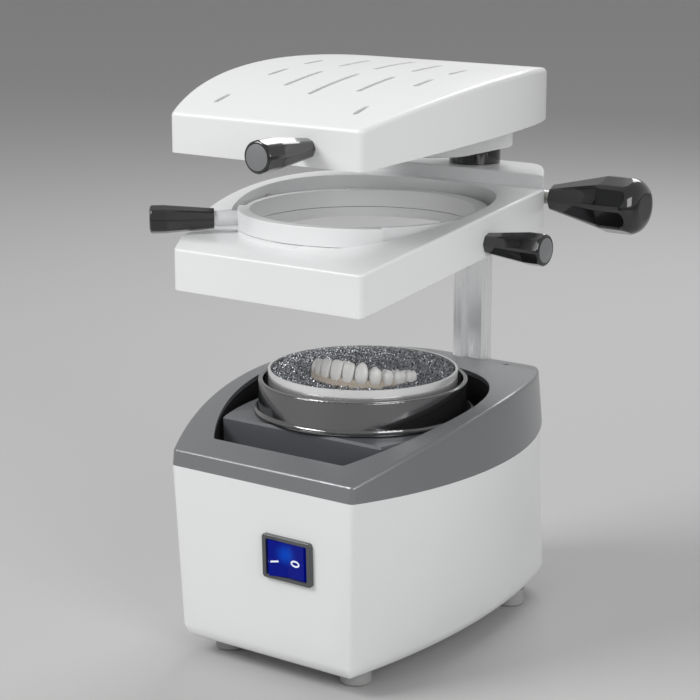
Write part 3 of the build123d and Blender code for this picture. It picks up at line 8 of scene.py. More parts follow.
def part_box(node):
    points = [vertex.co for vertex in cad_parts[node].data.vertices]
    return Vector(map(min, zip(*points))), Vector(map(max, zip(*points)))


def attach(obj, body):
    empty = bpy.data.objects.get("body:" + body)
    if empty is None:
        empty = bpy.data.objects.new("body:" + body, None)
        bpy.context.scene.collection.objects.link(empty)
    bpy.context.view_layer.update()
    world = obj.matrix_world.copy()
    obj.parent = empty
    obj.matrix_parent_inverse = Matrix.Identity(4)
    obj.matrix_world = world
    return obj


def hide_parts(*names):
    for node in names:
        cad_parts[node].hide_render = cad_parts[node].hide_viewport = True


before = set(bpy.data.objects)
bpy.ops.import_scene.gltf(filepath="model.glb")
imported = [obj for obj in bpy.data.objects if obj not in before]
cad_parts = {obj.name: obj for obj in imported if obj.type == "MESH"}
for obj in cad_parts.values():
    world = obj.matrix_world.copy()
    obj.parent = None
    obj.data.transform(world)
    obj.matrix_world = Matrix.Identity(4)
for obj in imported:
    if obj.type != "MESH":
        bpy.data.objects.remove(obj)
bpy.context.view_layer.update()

# ------------------------------------------------------------------ camera
# The machine was photographed from its right front corner with a long lens, from a little
# above its head: the place and the turn were worked out from its straight edges.
CAMERA_PLACE = (0.6616, -0.9147, 0.4392)
CAMERA_AZIMUTH = math.radians(36.25)
CAMERA_PITCH = math.radians(13.54)
CAMERA_LENS = 105.4
CAMERA_SENSOR = 36.0
CAMERA_NEAREST = 0.01
CAMERA_FURTHEST = 50.0


def look_along(item, direction):
    """Turns a camera or a lamp to look along a direction, its top side up."""
    item.rotation_mode = "QUATERNION"
    item.rotation_quaternion = direction.to_track_quat("-Z", "Y")


camera_data = bpy.data.cameras.new("camera")
camera_data.lens = CAMERA_LENS
camera_data.sensor_width = CAMERA_SENSOR
camera_data.clip_start = CAMERA_NEAREST
camera_data.clip_end = CAMERA_FURTHEST
camera = bpy.data.objects.new("camera", camera_data)
bpy.context.scene.collection.objects.link(camera)
camera.location = CAMERA_PLACE
look = Vector(
    (
        -math.sin(CAMERA_AZIMUTH) * math.cos(CAMERA_PITCH),
        math.cos(CAMERA_AZIMUTH) * math.cos(CAMERA_PITCH),
        -math.sin(CAMERA_PITCH),
    )
)
look_along(camera, look)
bpy.context.scene.camera = camera

# ------------------------------------------------------------------ floor, world and lamps
# A plain pale floor that keeps the machine's shadow, a pale grey surround, and three large
# soft lamps: a key from the upper left, a fill from the right and one from behind.
FLOOR_COLOUR = (0.50, 0.50, 0.50, 1.0)
FLOOR_ROUGHNESS = 0.85
FLOOR_SIZE = 40.0
SURROUND_COLOUR = (0.50, 0.50, 0.50, 1.0)
SURROUND_LIGHT = 0.34
LAMP_SIZE = 0.9
LAMP_TARGET = Vector((0.0, 0.0, 0.17))
LAMPS = (
    ("key", (-0.9, -1.3, 1.5), 24.5),
    ("fill", (1.5, -0.7, 0.8), 10.5),
    ("rim", (-0.3, 1.3, 1.3), 11.0),
)

world = bpy.data.worlds.new("surround")
bpy.context.scene.world = world
world.use_nodes = True
tree = world.node_tree
tree.nodes.clear()


def sky(colour, strength):
    """Even light from all round, of one colour and strength."""
    background = tree.nodes.new("ShaderNodeBackground")
    background.inputs["Color"].default_value = colour
    background.inputs["Strength"].default_value = strength
    return background.outputs["Background"]


def either(first, second):
    """One for a ray of either of two kinds, and zero for any other."""
    larger = tree.nodes.new("ShaderNodeMath")
    larger.operation = "MAXIMUM"
    tree.links.new(first, larger.inputs[0])
    tree.links.new(second, larger.inputs[1])
    return larger.outputs["Value"]


rays = tree.nodes.new("ShaderNodeLightPath").outputs
seen = either(either(rays["Is Camera Ray"], rays["Is Transmission Ray"]), rays["Is Glossy Ray"])
mix_sky = tree.nodes.new("ShaderNodeMixShader")
world_out = tree.nodes.new("ShaderNodeOutputWorld")
tree.links.new(seen, mix_sky.inputs[0])
tree.links.new(sky((1.0, 1.0, 1.0, 1.0), SURROUND_LIGHT), mix_sky.inputs[1])
tree.links.new(sky(SURROUND_COLOUR, 1.0), mix_sky.inputs[2])
tree.links.new(mix_sky.outputs["Shader"], world_out.inputs["Surface"])


def tune(material, settings):
    """Sets constant values straight on the sockets of a material's shader."""
    sockets = material.node_tree.nodes["Principled BSDF"].inputs
    for name, value in settings.items():
        sockets[name].default_value = value


bpy.ops.object.select_all(action="DESELECT")
bpy.ops.mesh.primitive_plane_add(size=FLOOR_SIZE, location=(0.0, 0.0, 0.0))
floor = bpy.context.object
floor.name = "floor"
floor_paint = bpy.data.materials.new("floor_paint")
floor_paint.use_nodes = True
tune(floor_paint, {"Base Color": FLOOR_COLOUR, "Roughness": FLOOR_ROUGHNESS})
floor.data.materials.append(floor_paint)

for lamp_name, place, power in LAMPS:
    lamp_data = bpy.data.lights.new(lamp_name, "AREA")
    lamp_data.shape = "SQUARE"
    lamp_data.size = LAMP_SIZE
    lamp_data.energy = power
    lamp = bpy.data.objects.new(lamp_name, lamp_data)
    bpy.context.scene.collection.objects.link(lamp)
    lamp.location = place
    look_along(lamp, LAMP_TARGET - Vector(place))

bpy.context.scene.view_settings.view_transform = "Standard"

# ------------------------------------------------------------------ white mouldings
# Base shell, carriage, clamp ring and head: ABS injection mouldings with a smooth satin skin.
# The skin has a faint orange peel and slow changes of gloss, as thick mouldings have.
WHITE = (0.88, 0.885, 0.89, 1.0)
ROD_WHITE = (0.78, 0.785, 0.79, 1.0)
PEEL_DETAIL = 2.0
PEEL_DEPTH = 0.00002
PEEL_STRENGTH = 0.6
COAT_ROUGHNESS = 0.08
SLOW_SCALE = 14.0
SLOW_DETAIL = 1.0
SLOW_SPAN = (0.2, 0.8)
WELD_DISTANCE = 0.000002
EVEN_WEIGHT = 100


def new_group(name, inputs, outputs):
    """Starts a node group from (name, kind, value) inputs and (name, kind) outputs."""
    group = bpy.data.node_groups.new(name, "ShaderNodeTree")
    for label, kind, value in inputs:
        socket = group.interface.new_socket(
            name=label, in_out="INPUT", socket_type="NodeSocket" + kind
        )
        socket.default_value = value
    for label, kind in outputs:
        group.interface.new_socket(name=label, in_out="OUTPUT", socket_type="NodeSocket" + kind)
    return group, group.nodes.new("NodeGroupInput"), group.nodes.new("NodeGroupOutput")


def skin_group():
    """Faint orange peel, slow changes of gloss and of shade, over any moulded surface."""
    group, given, out = new_group(
        "moulded_skin",
        (
            ("Peel Scale", "Float", 420.0),
            ("Gloss Low", "Float", 0.28),
            ("Gloss High", "Float", 0.4),
            ("Colour", "Color", (0.8, 0.8, 0.8, 1.0)),
            ("Shade", "Float", 0.04),
        ),
        (("Colour", "Color"), ("Roughness", "Float"), ("Height", "Float")),
    )
    nodes, links = group.nodes, group.links
    place = nodes.new("ShaderNodeTexCoord")
    peel = nodes.new("ShaderNodeTexNoise")
    peel.inputs["Detail"].default_value = PEEL_DETAIL
    slow = nodes.new("ShaderNodeTexNoise")
    slow.inputs["Scale"].default_value = SLOW_SCALE
    slow.inputs["Detail"].default_value = SLOW_DETAIL
    gloss = nodes.new("ShaderNodeMapRange")
    gloss.interpolation_type = "SMOOTHERSTEP"
    gloss.inputs["From Min"].default_value = SLOW_SPAN[0]
    gloss.inputs["From Max"].default_value = SLOW_SPAN[1]
    shade = nodes.new("ShaderNodeMath")
    shade.operation = "MULTIPLY"
    dark = nodes.new("ShaderNodeMix")
    dark.data_type = "RGBA"
    dark.blend_type = "MULTIPLY"
    dark.inputs["B"].default_value = (0.0, 0.0, 0.0, 1.0)
    links.new(place.outputs["Object"], peel.inputs["Vector"])
    links.new(place.outputs["Object"], slow.inputs["Vector"])
    links.new(given.outputs["Peel Scale"], peel.inputs["Scale"])
    links.new(slow.outputs["Fac"], gloss.inputs["Value"])
    links.new(given.outputs["Gloss Low"], gloss.inputs["To Min"])
    links.new(given.outputs["Gloss High"], gloss.inputs["To Max"])
    links.new(slow.outputs["Fac"], shade.inputs[0])
    links.new(given.outputs["Shade"], shade.inputs[1])
    links.new(shade.outputs["Value"], dark.inputs["Factor"])
    links.new(given.outputs["Colour"], dark.inputs["A"])
    links.new(dark.outputs["Result"], out.inputs["Colour"])
    links.new(gloss.outputs["Result"], out.inputs["Roughness"])
    links.new(peel.outputs["Fac"], out.inputs["Height"])
    return group


moulded_skin = skin_group()


def finish_with(name, group, values, depth, strength):
    """New material whose roughness and relief come from a node group with its own values."""
    material = bpy.data.materials.new(name)
    material.use_nodes = True
    nodes, links = material.node_tree.nodes, material.node_tree.links
    surface = nodes["Principled BSDF"]
    effect = nodes.new("ShaderNodeGroup")
    effect.node_tree = group
    for label, value in values.items():
        effect.inputs[label].default_value = value
    bump = nodes.new("ShaderNodeBump")
    bump.inputs["Distance"].default_value = depth
    bump.inputs["Strength"].default_value = strength
    links.new(effect.outputs["Roughness"], surface.inputs["Roughness"])
    links.new(effect.outputs["Height"], bump.inputs["Height"])
    links.new(bump.outputs["Normal"], surface.inputs["Normal"])
    return material, effect


def moulded(name, colour, gloss, peel_scale=420.0, shade=0.05, coat=0.0):
    """Moulded or painted finish from the skin group; gloss is (lowest, highest) roughness."""
    values = {
        "Peel Scale": peel_scale,
        "Gloss Low": gloss[0],
        "Gloss High": gloss[1],
        "Colour": colour,
        "Shade": shade,
    }
    material, skin = finish_with(name, moulded_skin, values, PEEL_DEPTH, PEEL_STRENGTH)
    surface = material.node_tree.nodes["Principled BSDF"]
    material.node_tree.links.new(skin.outputs["Colour"], surface.inputs["Base Color"])
    tune(material, {"Coat Weight": coat, "Coat Roughness": COAT_ROUGHNESS})
    return material


def dress(material, *names, crease=35.0):
    """Gives solids of the frame their finish and smooth shading up to a crease angle."""
    for name in names:
        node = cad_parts[name]
        node.data.materials.clear()
        node.data.materials.append(material)
        for face in node.data.polygons:
            face.use_smooth = True
            face.material_index = 0
        weld = node.modifiers.new("weld", "WELD")
        weld.merge_threshold = WELD_DISTANCE
        split = node.modifiers.new("crease", "EDGE_SPLIT")
        split.split_angle = math.radians(crease)
        even = node.modifiers.new("even", "WEIGHTED_NORMAL")
        even.weight = EVEN_WEIGHT


white_skin = moulded("white_skin", WHITE, (0.29, 0.37), coat=0.15)
dress(white_skin, "base_housing", "carriage_frame", "clamp_ring", "head_shell", "head_boss")
dress(moulded("rod_white", ROD_WHITE, (0.3, 0.42)), "ring_lever_rod")

# ------------------------------------------------------------------ grey cover and black well
# The cover is the same kind of moulding in a metallic grey, with a black tray fixed under its
# cut-out, so that nothing spilt round the table reaches the motor.
GREY = (0.225, 0.23, 0.24, 1.0)
WELL_BLACK = (0.012, 0.012, 0.013, 1.0)

cover_grey = moulded("cover_grey", GREY, (0.285, 0.36), peel_scale=900.0, shade=0.08, coat=0.25)
tune(cover_grey, {"Metallic": 0.35})
dress(cover_grey, "base_cover")
well_black = moulded("well_black", WELL_BLACK, (0.45, 0.6))
dress(well_black, "well_liner", "guide_bush")

# ------------------------------------------------------------------ vacuum table
# A painted cast block carries the table: a turned ring with a dark polished finish. Black
# rubber seals the table, the suction joint and the carriage's seat, and sheathes the wires.
BLOCK_GREY = (0.10, 0.105, 0.115, 1.0)
TABLE_DARK = (0.20, 0.20, 0.205, 1.0)
SEAL_BLACK = (0.015, 0.015, 0.015, 1.0)

block_paint = moulded("block_paint", BLOCK_GREY, (0.3, 0.42), shade=0.1, coat=0.2)
dress(block_paint, "table_block")
table_gloss = moulded("table_gloss", TABLE_DARK, (0.08, 0.14), shade=0.2, coat=0.3)
tune(table_gloss, {"Metallic": 0.9})
dress(table_gloss, "table_wall")
seal_black = moulded("seal_black", SEAL_BLACK, (0.6, 0.75))
dress(seal_black, "table_gasket", "seat_gasket", "suction_seal", "wiring")

# ------------------------------------------------------------------ bare metal
# Column, cup and sheet parts are bright steel with the marks of grinding or turning; the
# fan and its chamber are pressed aluminium, and the pivot's bush and lock shoe are brass.
STEEL = (0.93, 0.935, 0.94, 1.0)
CUP_STEEL = (0.93, 0.93, 0.93, 1.0)
SHEET_STEEL = (0.58, 0.59, 0.60, 1.0)
ALUMINIUM = (0.70, 0.71, 0.72, 1.0)
STATOR_IRON = (0.25, 0.22, 0.20, 1.0)
BRASS = (0.70, 0.50, 0.22, 1.0)
ZINC = (0.62, 0.62, 0.60, 1.0)
STREAK_DETAIL = 3.0
STREAK_SPAN = (0.3, 0.7)
STREAK_STRENGTH = 0.5


def brushed_group():
    """Long fine scratches: the noise is stretched by the given scale along each axis."""
    group, given, out = new_group(
        "grinding_marks",
        (
            ("Scale", "Vector", (1.0, 1.0, 1.0)),
            ("Gloss Low", "Float", 0.2),
            ("Gloss High", "Float", 0.35),
        ),
        (("Roughness", "Float"), ("Height", "Float")),
    )
    nodes, links = group.nodes, group.links
    place = nodes.new("ShaderNodeTexCoord")
    stretch = nodes.new("ShaderNodeVectorMath")
    stretch.operation = "MULTIPLY"
    streak = nodes.new("ShaderNodeTexNoise")
    streak.inputs["Scale"].default_value = 1.0
    streak.inputs["Detail"].default_value = STREAK_DETAIL
    gloss = nodes.new("ShaderNodeMapRange")
    gloss.inputs["From Min"].default_value = STREAK_SPAN[0]
    gloss.inputs["From Max"].default_value = STREAK_SPAN[1]
    links.new(place.outputs["Object"], stretch.inputs[0])
    links.new(given.outputs["Scale"], stretch.inputs[1])
    links.new(stretch.outputs["Vector"], streak.inputs["Vector"])
    links.new(streak.outputs["Fac"], gloss.inputs["Value"])
    links.new(given.outputs["Gloss Low"], gloss.inputs["To Min"])
    links.new(given.outputs["Gloss High"], gloss.inputs["To Max"])
    links.new(gloss.outputs["Result"], out.inputs["Roughness"])
    links.new(streak.outputs["Fac"], out.inputs["Height"])
    return group


grinding_marks = brushed_group()


def bare_metal(name, colour, scale, gloss, depth=0.00001, bareness=1.0):
    """Bright metal with scratches, closely spaced along the axes where scale is large."""
    values = {"Scale": scale, "Gloss Low": gloss[0], "Gloss High": gloss[1]}
    material, _ = finish_with(name, grinding_marks, values, depth, STREAK_STRENGTH)
    tune(material, {"Base Color": colour, "Metallic": bareness})
    return material


column_bright = bare_metal(
    "column_bright", STEEL, (2500.0, 2500.0, 18.0), (0.26, 0.38), bareness=0.7
)
dress(column_bright, "column", "pivot_pin")
cup_bright = bare_metal(
    "cup_bright", CUP_STEEL, (40.0, 40.0, 3000.0), (0.14, 0.22), depth=0.000002, bareness=0.75
)
dress(cup_bright, "granule_cup")
sheet_bright = bare_metal("sheet_bright", SHEET_STEEL, (1800.0, 12.0, 12.0), (0.25, 0.4))
dress(
    sheet_bright,
    "floor_plate", "motor_mount", "column_foot", "perforated_plate", "heater_pan",
    "heater_reflector",
)
pressed_aluminium = bare_metal(
    "pressed_aluminium", ALUMINIUM, (300.0, 300.0, 300.0), (0.35, 0.5)
)
dress(pressed_aluminium, "motor_can", "fan_chamber", "chamber_lid", "impeller", "rotor_shaft")
stator_iron = bare_metal("stator_iron", STATOR_IRON, (20.0, 20.0, 2200.0), (0.5, 0.6))
dress(stator_iron, "motor_stator")
turned_brass = bare_metal("turned_brass", BRASS, (60.0, 60.0, 1500.0), (0.25, 0.4))
dress(turned_brass, "pivot_bush", "lock_shoe")
zinc = bare_metal("zinc", ZINC, (500.0, 500.0, 500.0), (0.3, 0.45))
dress(
    zinc,
    "foot_screws", "cover_screws", "column_screws", "pan_screws", "bayonet_pins",
    "side_handle_stud", "lock_spindle", "head_knob_stud",
)

# ------------------------------------------------------------------ heater
# A spiral sheathed element below a fired ceramic tile, hung in the pan under the head. The
# sheath is darkened by heat, and the tile is chalky and unevenly fired.
COIL_DARK = (0.20, 0.16, 0.14, 1.0)
CERAMIC = (0.62, 0.59, 0.53, 1.0)

coil_dark = bare_metal("coil_dark", COIL_DARK, (400.0, 400.0, 400.0), (0.45, 0.6))
dress(coil_dark, "heater_coil")
fired_ceramic = moulded("fired_ceramic", CERAMIC, (0.6, 0.8), peel_scale=700.0, shade=0.3)
dress(fired_ceramic, "heater_tile")

# ------------------------------------------------------------------ feet
# Turned rubber feet in a mid grey, slightly dusty. Each is held by a screw that goes up
# through it into the floor of the base.
FOOT_GREY = (0.42, 0.42, 0.415, 1.0)

foot_grey = moulded("foot_grey", FOOT_GREY, (0.5, 0.65), peel_scale=900.0, shade=0.25)
dress(foot_grey, "foot_front_right", "foot_front_left", "foot_rear_right", "foot_rear_left")

# ------------------------------------------------------------------ knobs
# Black phenolic knobs, polished: eight flats on a cone, moulded on to steel studs. Three of
# them have a flat end closed by a satin grey disc.
KNOB_BLACK = (0.010, 0.010, 0.011, 1.0)
KNOB_CREASE = 18.0
DISC_GREY = (0.22, 0.225, 0.23, 1.0)
DISC_THICKNESS = 0.0006
DISC_ROUNDING = 0.00025
DISC_SUNK = 0.0001
DISC_CREASE = math.radians(40)
LEVER_TURN = math.radians(-138.5)
LEVER_AXIS = Vector((math.cos(LEVER_TURN), math.sin(LEVER_TURN), 0.0))
ALONG_X_OR_Y = 0.99

knob_black = moulded("knob_black", KNOB_BLACK, (0.10, 0.17), shade=0.2, coat=0.7)
dress(
    knob_black,
    "head_knob", "side_handle", "lock_knob", "ring_lever_knob", "pivot_collar",
    crease=KNOB_CREASE,
)
disc_grey = moulded("disc_grey", DISC_GREY, (0.3, 0.42), shade=0.1)


def knob_end(node, axis):
    """Middle of the flat end of a knob that points along a level axis."""
    low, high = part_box(node)
    middle = (Vector(low) + Vector(high)) / 2
    points = [vertex.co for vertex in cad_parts[node].data.vertices]
    reach = max(point.dot(axis) for point in points)
    if max(abs(axis.x), abs(axis.y)) >= ALONG_X_OR_Y:
        return middle + axis * (reach - middle.dot(axis))
    across = Vector((-axis.y, axis.x, 0.0))
    spread = [point.dot(across) for point in points]
    centre = axis * reach + across * ((max(spread) + min(spread)) / 2)
    centre.z = middle.z
    return centre


def end_disc(name, node, body, axis, radius):
    """Grey disc pressed into the flat end of a knob, with a rounded rim."""
    bpy.ops.object.select_all(action="DESELECT")
    bpy.ops.mesh.primitive_cylinder_add(vertices=48, radius=radius, depth=DISC_THICKNESS)
    disc = bpy.context.object
    disc.name = name
    bpy.ops.object.mode_set(mode="EDIT")
    bpy.ops.mesh.select_all(action="SELECT")
    bpy.ops.mesh.bevel(offset=DISC_ROUNDING, segments=2, affect="EDGES")
    bpy.ops.object.mode_set(mode="OBJECT")
    turn = axis.to_track_quat("Z", "Y").to_matrix().to_4x4()
    disc.data.transform(Matrix.Translation(knob_end(node, axis) - axis * DISC_SUNK) @ turn)
    bpy.ops.object.shade_smooth_by_angle(angle=DISC_CREASE)
    disc.data.materials.append(disc_grey)
    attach(disc, body)


end_disc("head_knob_disc", "head_knob", "head", Vector((0.0, -1.0, 0.0)), 0.0068)
end_disc("side_handle_disc", "side_handle", "carriage", Vector((1.0, 0.0, 0.0)), 0.0066)
end_disc("lever_disc", "ring_lever_knob", "ring", LEVER_AXIS, 0.0058)

# ------------------------------------------------------------------ switch
# A lit rocker in a dark frame: clear blue polycarbonate over a lamp that glows softest above
# its middle, with the two generic marks printed white. It rocks from side to side.
SWITCH_X = 0.01875
SWITCH_Z = 0.0726
SWITCH_DARK = (0.075, 0.077, 0.08, 1.0)
ROCKER_BLUE = (0.0, 0.006, 0.16, 1.0)
ROCKER_CREASE = 20.0
GLOW_PLACE = (0.0180, -0.0945, 0.0756)
GLOW_REACH = 0.0085
GLOW_DEEP = (0.0, 0.002, 0.17, 1.0)
GLOW_BRIGHT = (0.0, 0.085, 0.62, 1.0)
GLOW_STRENGTH = 0.55
MARK_WHITE = (0.80, 0.84, 0.95, 1.0)
MARK_GLOW = 0.25
MARK_LINE = 0.0010
MARK_PROUD = 0.00005
DASH_LENGTH = 0.0055
DASH_PLACE = (-0.0075, -0.0016)
DASH_TURN = math.radians(8.0)
RING_RADII = (0.0031, 0.0019)
RING_PLACE = (0.0055, -0.0011)
IN_FRONT = -0.2

switch_dark = moulded("switch_dark", SWITCH_DARK, (0.16, 0.26), coat=0.4)
dress(switch_dark, "switch_housing", "power_inlet", "fuse_holder")

rocker_blue = moulded("rocker_blue", ROCKER_BLUE, (0.18, 0.24), shade=0.2)
tune(rocker_blue, {"Specular IOR Level": 0.15, "Emission Strength": GLOW_STRENGTH})
nodes, links = rocker_blue.node_tree.nodes, rocker_blue.node_tree.links
rocker_place = nodes.new("ShaderNodeTexCoord")
lamp_distance = nodes.new("ShaderNodeVectorMath")
lamp_distance.operation = "DISTANCE"
lamp_distance.inputs[1].default_value = GLOW_PLACE
lamp_fade = nodes.new("ShaderNodeMapRange")
lamp_fade.interpolation_type = "SMOOTHERSTEP"
lamp_fade.inputs["From Min"].default_value = 0.0
lamp_fade.inputs["From Max"].default_value = GLOW_REACH
lamp_fade.inputs["To Min"].default_value = 1.0
lamp_fade.inputs["To Max"].default_value = 0.0
lamp_colour = nodes.new("ShaderNodeMix")
lamp_colour.data_type = "RGBA"
lamp_colour.inputs["A"].default_value = GLOW_DEEP
lamp_colour.inputs["B"].default_value = GLOW_BRIGHT
links.new(rocker_place.outputs["Object"], lamp_distance.inputs[0])
links.new(lamp_distance.outputs["Value"], lamp_fade.inputs["Value"])
links.new(lamp_fade.outputs["Result"], lamp_colour.inputs["Factor"])
links.new(lamp_colour.outputs["Result"], nodes["Principled BSDF"].inputs["Emission Color"])
dress(rocker_blue, "switch_rocker", crease=ROCKER_CREASE)

mark_paint = moulded("mark_paint", MARK_WHITE, (0.3, 0.4), shade=0.02)
tune(mark_paint, {"Emission Color": MARK_WHITE, "Emission Strength": MARK_GLOW})


def lay_on_rocker(mark, place, turn=0.0):
    """Turns a flat mark to face the front, then presses it on to the rocker's two slopes."""
    stand = Matrix.Translation((SWITCH_X + place[0], IN_FRONT, SWITCH_Z + place[1]))
    upright = Matrix.Rotation(math.radians(90), 4, "X")
    mark.data.transform(stand @ upright @ Matrix.Rotation(turn, 4, "Z"))
    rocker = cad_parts["switch_rocker"]
    for vertex in mark.data.vertices:
        found, spot, normal, face = rocker.ray_cast(vertex.co, Vector((0.0, 1.0, 0.0)))
        if found:
            vertex.co = spot + normal * MARK_PROUD
    mark.data.materials.append(mark_paint)
    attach(mark, "rocker")


bpy.ops.object.select_all(action="DESELECT")
bpy.ops.mesh.primitive_plane_add(size=1.0)
dash = bpy.context.object
dash.name = "mark_on"
bpy.ops.object.mode_set(mode="EDIT")
bpy.ops.mesh.subdivide(number_cuts=3)
bpy.ops.transform.resize(value=(DASH_LENGTH, MARK_LINE, 1.0))
bpy.ops.object.mode_set(mode="OBJECT")
lay_on_rocker(dash, DASH_PLACE, DASH_TURN)

bpy.ops.object.select_all(action="DESELECT")
bpy.ops.mesh.primitive_circle_add(vertices=48, radius=1.0, fill_type="NOTHING")
ring_mark = bpy.context.object
ring_mark.name = "mark_off"
bpy.ops.object.mode_set(mode="EDIT")
bpy.ops.mesh.select_all(action="SELECT")
bpy.ops.transform.resize(value=(RING_RADII[0], RING_RADII[1], 1.0))
bpy.ops.mesh.extrude_edges_move()
inward = [(radius - MARK_LINE) / radius for radius in RING_RADII]
bpy.ops.transform.resize(value=(inward[0], inward[1], 1.0))
bpy.ops.mesh.select_all(action="SELECT")
bpy.ops.mesh.normals_make_consistent(inside=False)
bpy.ops.object.mode_set(mode="OBJECT")
lay_on_rocker(ring_mark, RING_PLACE)

# ------------------------------------------------------------------ dental cast
# Model of a lower arch in dental stone: a beige gum, with paler crowns carved tooth by tooth
# on it. It lies tilted in the granules, so its back teeth are half sunk.
GUM_BEIGE = (0.60, 0.53, 0.44, 1.0)
TOOTH_PALE = (0.86, 0.855, 0.84, 1.0)
CAST_PLACE = Vector((0.0067, -0.0144, 0.156))
CAST_TURN = math.radians(-10.0)
CAST_TILT = math.radians(-6.0)
ARCH_HALF_WIDTH = 0.025
ARCH_DEPTH = 0.0195
ARCH_STEPS = 400
GUM_TOP = 0.0024
CROWN_HEIGHT = 0.0104
# width along the arch, depth across it, kind and height on the right and on the left side
# of each tooth, from the middle to the ends; the left side has sunk deeper in the granules
CROWNS = (
    (0.0078, 0.0052, "incisor", 1.18, 1.12),
    (0.0069, 0.0052, "incisor", 1.14, 0.96),
    (0.0074, 0.0062, "canine", 1.14, 0.80),
    (0.0069, 0.0068, "premolar", 0.98, 0.56),
    (0.0067, 0.0070, "premolar", 0.86, 0.46),
    (0.0092, 0.0084, "molar", 0.80, 0.42),
    (0.0088, 0.0082, "molar", 0.74, 0.38),
)
CROWN_FOOT = 0.0014
CROWN_FORWARD = 0.0006
CROWN_CLOSENESS = 0.98
CROWN_CUTS = 8
CROWN_SQUARENESS = {"incisor": 4.5, "canine": 3.2, "premolar": 3.2, "molar": 3.2}
NECK_WIDTH = {"incisor": 0.74, "canine": 0.66, "premolar": 0.72, "molar": 0.72}
BACK_NECK_DEPTH = 0.86
CANINE_POINT = 0.10
CUSP_HEIGHT = 0.045
GROOVE_DEPTH = 0.05
PAPILLA_SIZE = (0.0044, 0.0078, 0.0052)
PAPILLA_SUNK = 0.0005
PAPILLA_CUTS = 4
PAPILLA_SQUARENESS = 2.2

hinge = Vector((0.0, -ARCH_DEPTH, 0.0))
cast_matrix = (
    Matrix.Translation(CAST_PLACE)
    @ Matrix.Rotation(CAST_TURN, 4, "Z")
    @ Matrix.Translation(hinge)
    @ Matrix.Rotation(CAST_TILT, 4, "X")
    @ Matrix.Translation(-hinge)
)


def arch_point(distance):
    """Point and direction on the arch's centre line, measured from the middle to the right."""
    walked = 0.0
    before = Vector((0.0, -ARCH_DEPTH, 0.0))
    for step in range(1, ARCH_STEPS + 1):
        angle = step / ARCH_STEPS * math.pi / 2
        here = Vector((ARCH_HALF_WIDTH * math.sin(angle), -ARCH_DEPTH * math.cos(angle), 0.0))
        leg = (here - before).length
        if walked + leg >= distance:
            along = (here - before).normalized()
            return before + along * (distance - walked), along
        walked += leg
        before = here
    return before + Vector((0.0, distance - walked, 0.0)), Vector((0.0, 1.0, 0.0))


def crown_shape(co, kind):
    """Moves a point of a rounded unit block to its place on a crown of the given kind.

    Each crown swells from a narrow neck. An incisor thins to a straight edge, a canine to a
    blunt point, a premolar ends in one cusp on each side of its groove and a molar in two.
    """
    across, deep, high = co
    rise = min(1.0, max(0.0, high + 0.5))
    bow = math.sin(math.pi * rise)
    if kind == "incisor":
        swell = math.sin(math.pi / 2 * min(1.0, rise * 1.35))
        thick = 1.0 - 0.66 * rise ** 1.4
        lean = 0.10 * bow
        top = 0.0
    elif kind == "canine":
        swell = math.sin(math.pi * (0.12 + 0.68 * rise))
        thick = 1.0 - 0.5 * rise ** 1.6
        lean = 0.12 * bow
        top = CANINE_POINT * rise * (1.0 - (2.0 * abs(across)) ** 1.3)
    else:
        swell = math.sin(math.pi * (0.08 + 0.62 * rise))
        belly = math.sin(math.pi * (0.1 + 0.7 * rise))
        thick = BACK_NECK_DEPTH + (1.0 - BACK_NECK_DEPTH) * belly
        lean = 0.0
        if kind == "premolar":
            cusps = math.cos(2.0 * math.pi * across)
        else:
            cusps = -math.cos(4.0 * math.pi * across)
        groove = math.cos(4.0 * math.pi * deep + math.pi)
        top = rise ** 4 * (CUSP_HEIGHT * cusps + GROOVE_DEPTH * groove)
    wide = NECK_WIDTH[kind] + (1.0 - NECK_WIDTH[kind]) * swell
    return Vector((across * wide, deep * thick - lean, high + top))


def block(name, cuts, squareness):
    """A subdivided unit block with its corners drawn in, less where squareness is large."""
    bpy.ops.object.select_all(action="DESELECT")
    bpy.ops.mesh.primitive_cube_add(size=1.0)
    piece = bpy.context.object
    piece.name = name
    bpy.ops.object.mode_set(mode="EDIT")
    bpy.ops.mesh.subdivide(number_cuts=cuts)
    bpy.ops.object.mode_set(mode="OBJECT")
    for vertex in piece.data.vertices:
        sides = [abs(value) for value in vertex.co]
        length = sum(side ** squareness for side in sides) ** (1.0 / squareness)
        vertex.co *= max(sides) / length
    return piece


def on_arch(piece, distance, size, rise, side, forward=0.0):
    """Scales a piece's mesh, stands it across the arch and sets it in the tilted cast."""
    spot, along = arch_point(distance)
    outward = Vector((along.y, -along.x, 0.0))
    for vertex in piece.data.vertices:
        inward = vertex.co.y * size[1] - forward
        place = spot + along * vertex.co.x * size[0] - outward * inward
        place.z = rise + vertex.co.z * size[2]
        place.x *= side
        vertex.co = cast_matrix @ place


def gather(pieces, name, material):
    """Joins like pieces into one mesh with outward faces and a smooth surface."""
    bpy.ops.object.select_all(action="DESELECT")
    for piece in pieces:
        piece.select_set(True)
    bpy.context.view_layer.objects.active = pieces[0]
    bpy.ops.object.join()
    joined = bpy.context.object
    joined.name = name
    bpy.ops.object.mode_set(mode="EDIT")
    bpy.ops.mesh.select_all(action="SELECT")
    bpy.ops.mesh.normals_make_consistent(inside=False)
    bpy.ops.object.mode_set(mode="OBJECT")
    bpy.ops.object.shade_smooth()
    joined.data.materials.clear()
    joined.data.materials.append(material)
    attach(joined, "cup")
    return joined


